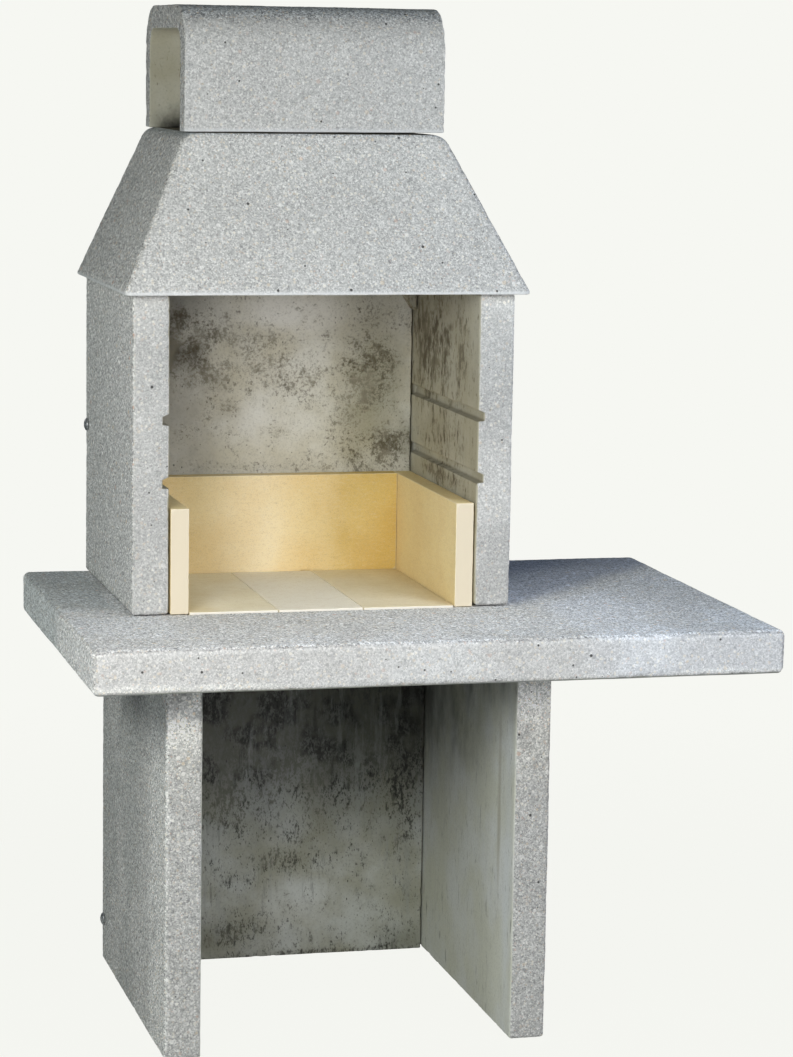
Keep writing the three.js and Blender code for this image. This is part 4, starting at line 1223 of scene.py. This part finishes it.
move_points(cap, bend_cap)
x, y, z = read_places(cap.data.vertices, "co").T
inner_half = (cap_high.y - cap_low.y) / 2 - CAP_SHELL + CAP_EDGE
lip = np.clip((cap_low.z + foot_lift(x, y) + CAP_LIP - z) / (1 * MM), 0, 1) * (np.abs(y - cap_middle) > inner_half)
note_points(cap, "smooth_lip", lip)
# the rounded edges at the feet's inner sides take the soot and painted shadow of the inside too
x, y, z = read_places(cap.data.polygons, "center").T
notes = cap.data.attributes["formed"].data
formed = np.empty(len(notes), bool)
notes.foreach_get("value", formed)
notes.foreach_set("value", formed | (np.abs(y - cap_middle) < inner_half) & (z < cap_low.z + CAP_EDGE))
bake_tree(cap, CAST_SURFACE, seed=81, washed_finish=WASHED, formed_finish=CAP_INSIDE)
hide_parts("chimney_cap")
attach(cap, "root")


# Fixings
# Zinc-plated bolts with low domed heads, each on a flat washer and screwed into one of the sleeves in the ends of
# the rear panels. Only the heads and washers show, on the outer faces of the side walls.

ZINC, recipe = new_finish("zinc_steel")
bloom = recipe.ease(recipe.noise(recipe.place(), 260.0, 3.0), 0.35, 0.7)
recipe.colour = recipe.blend(bloom, (0.62, 0.64, 0.66), (0.42, 0.43, 0.44))
recipe.dress({"Roughness": 0.25 + 0.25 * bloom, "Metallic": 1.0})

THREAD_PITCH = 1.75 * MM
THREAD_DEPTH = 0.6 * MM
WASHER_ROUND = 0.4 * MM


def fixing_tree(name, sizes):
    """An empty geometry tree for a fixing whose axis is the Z axis, with its head upwards: named sizes, a seat to
    stand on and a turn about Y that lays it in place."""
    return new_tree(name, sizes, {"Turn": "Float", "Seat": "Vector", "Finish": "Material"})


def lay_fixing(steps, given, body):
    """Turns the fixing, seats it and gives it its finish."""
    turned = steps.combine(0.0, given["Turn"], 0.0)
    body = steps.add("GeometryNodeTransform", None,
                     {"Geometry": body, "Rotation": turned, "Translation": given["Seat"]})
    body = steps.add("GeometryNodeRealizeInstances", None, {"Geometry": body})
    return steps.end(steps.coat(body, given["Finish"]))


def dome_bolt():
    steps, given = fixing_tree("dome_bolt", {
        "Head radius": 10.5 * MM, "Head height": 3.8 * MM, "Rim height": 0.8 * MM, "Socket flats": 7 * MM,
        "Socket depth": 2.6 * MM, "Shank radius": 6 * MM, "Shank length": 120 * MM})
    x, y, z = steps.split(steps.add("GeometryNodeInputPosition"))
    angle = reckon("ARCTAN2", y, x)
    rim = steps.length(x, y)

    def turned_part(out, rise, rows, rings, sides):
        """A cylinder, 1 high and 1 in radius, whose points are carried to their own radius and height."""
        body = steps.add("GeometryNodeMeshCylinder", {"fill_type": "TRIANGLE_FAN"}, {
            "Vertices": sides, "Side Segments": rows, "Fill Segments": rings, "Radius": 1.0, "Depth": 1.0})
        spot = steps.combine(out * reckon("COSINE", angle), out * reckon("SINE", angle), rise)
        return steps.add("GeometryNodeSetPosition", None, {"Geometry": body, "Position": spot})

    # the head: a low dome with a short rim, and a six-sided socket in its middle; of the nine rings of its top,
    # the inner three are the socket's floor
    wedge = reckon("FLOORED_MODULO", angle + 4 * math.pi, math.pi / 3) - math.pi / 6
    flat = given["Socket flats"] / 2 / reckon("COSINE", wedge)
    top = z > 0.49
    floor, crown, skirt = top * (rim < 0.39), top * (rim > 0.39), 1.0 - top
    out = (floor * reckon("MINIMUM", rim * 3, 1.0) * flat * 0.97
           + crown * (flat + (given["Head radius"] - flat) * (rim * 9 - 4) / 5)
           + skirt * rim * given["Head radius"])
    reach = out / given["Head radius"]
    dome = given["Rim height"] + (given["Head height"] - given["Rim height"]) * (1.0 - reach * reach)
    rise = (floor * (given["Head height"] - given["Socket depth"]) + crown * dome
            + skirt * (z + 0.5) * given["Rim height"])
    head = turned_part(out, rise, rows=2, rings=9, sides=48)
    # the shank, threaded over its far half
    down = (0.5 - z) * given["Shank length"]
    ridge = reckon("PINGPONG", down / THREAD_PITCH * 2 + angle / math.pi, 1.0) * THREAD_DEPTH
    ridge = ridge * (down > given["Shank length"] * 0.5)
    shank = turned_part(rim * (given["Shank radius"] - ridge), 0.0 - down, rows=240, rings=1, sides=20)
    return lay_fixing(steps, given, steps.join(shank, head))


def flat_washer():
    steps, given = fixing_tree("flat_washer", {
        "Bore radius": 6.5 * MM, "Rim radius": 11.5 * MM, "Thickness": 2.5 * MM})
    path = steps.add("GeometryNodeCurvePrimitiveCircle", None, {
        "Resolution": 48, "Radius": (given["Bore radius"] + given["Rim radius"]) / 2})
    section = steps.add("GeometryNodeCurvePrimitiveQuadrilateral", None, {
        "Width": given["Rim radius"] - given["Bore radius"], "Height": given["Thickness"]})
    section = steps.add("GeometryNodeFilletCurve", {"mode": "POLY"}, {
        "Curve": section, "Radius": WASHER_ROUND, "Count": 3})
    ring = steps.add("GeometryNodeCurveToMesh", None, {"Curve": path, "Profile Curve": section})
    return lay_fixing(steps, given, steps.add("GeometryNodeSetShadeSmooth", None, {0: ring, "Shade Smooth": True}))


DOME_BOLT = dome_bolt()
FLAT_WASHER = flat_washer()
SEAT_DEPTH = 7.5 * MM
for place_name in ("base_left_lower", "base_left_upper", "base_right_lower", "base_right_upper", "hearth_left",
                   "hearth_right"):
    to_left = "left" in place_name
    turn = -math.pi / 2 if to_left else math.pi / 2
    low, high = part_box(f"{place_name}_bolt")
    middle = (low + high) / 2
    seat = (low.x + SEAT_DEPTH if to_left else high.x - SEAT_DEPTH, middle.y, middle.z)
    bolt = solid_piece(f"{place_name}_dome_bolt")
    bake_tree(bolt, DOME_BOLT, turn=turn, seat=seat, finish=ZINC, shank_length=high.x - low.x - SEAT_DEPTH)
    low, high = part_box(f"{place_name}_washer")
    washer = solid_piece(f"{place_name}_flat_washer")
    bake_tree(washer, FLAT_WASHER, turn=turn, seat=(low + high) / 2, finish=ZINC)
    for piece, kind in ((bolt, "bolt"), (washer, "washer")):
        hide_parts(f"{place_name}_{kind}")
        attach(piece, "root")
    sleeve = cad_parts[f"{place_name}_sleeve"]
    sleeve.data.materials.clear()
    sleeve.data.materials.append(ZINC)
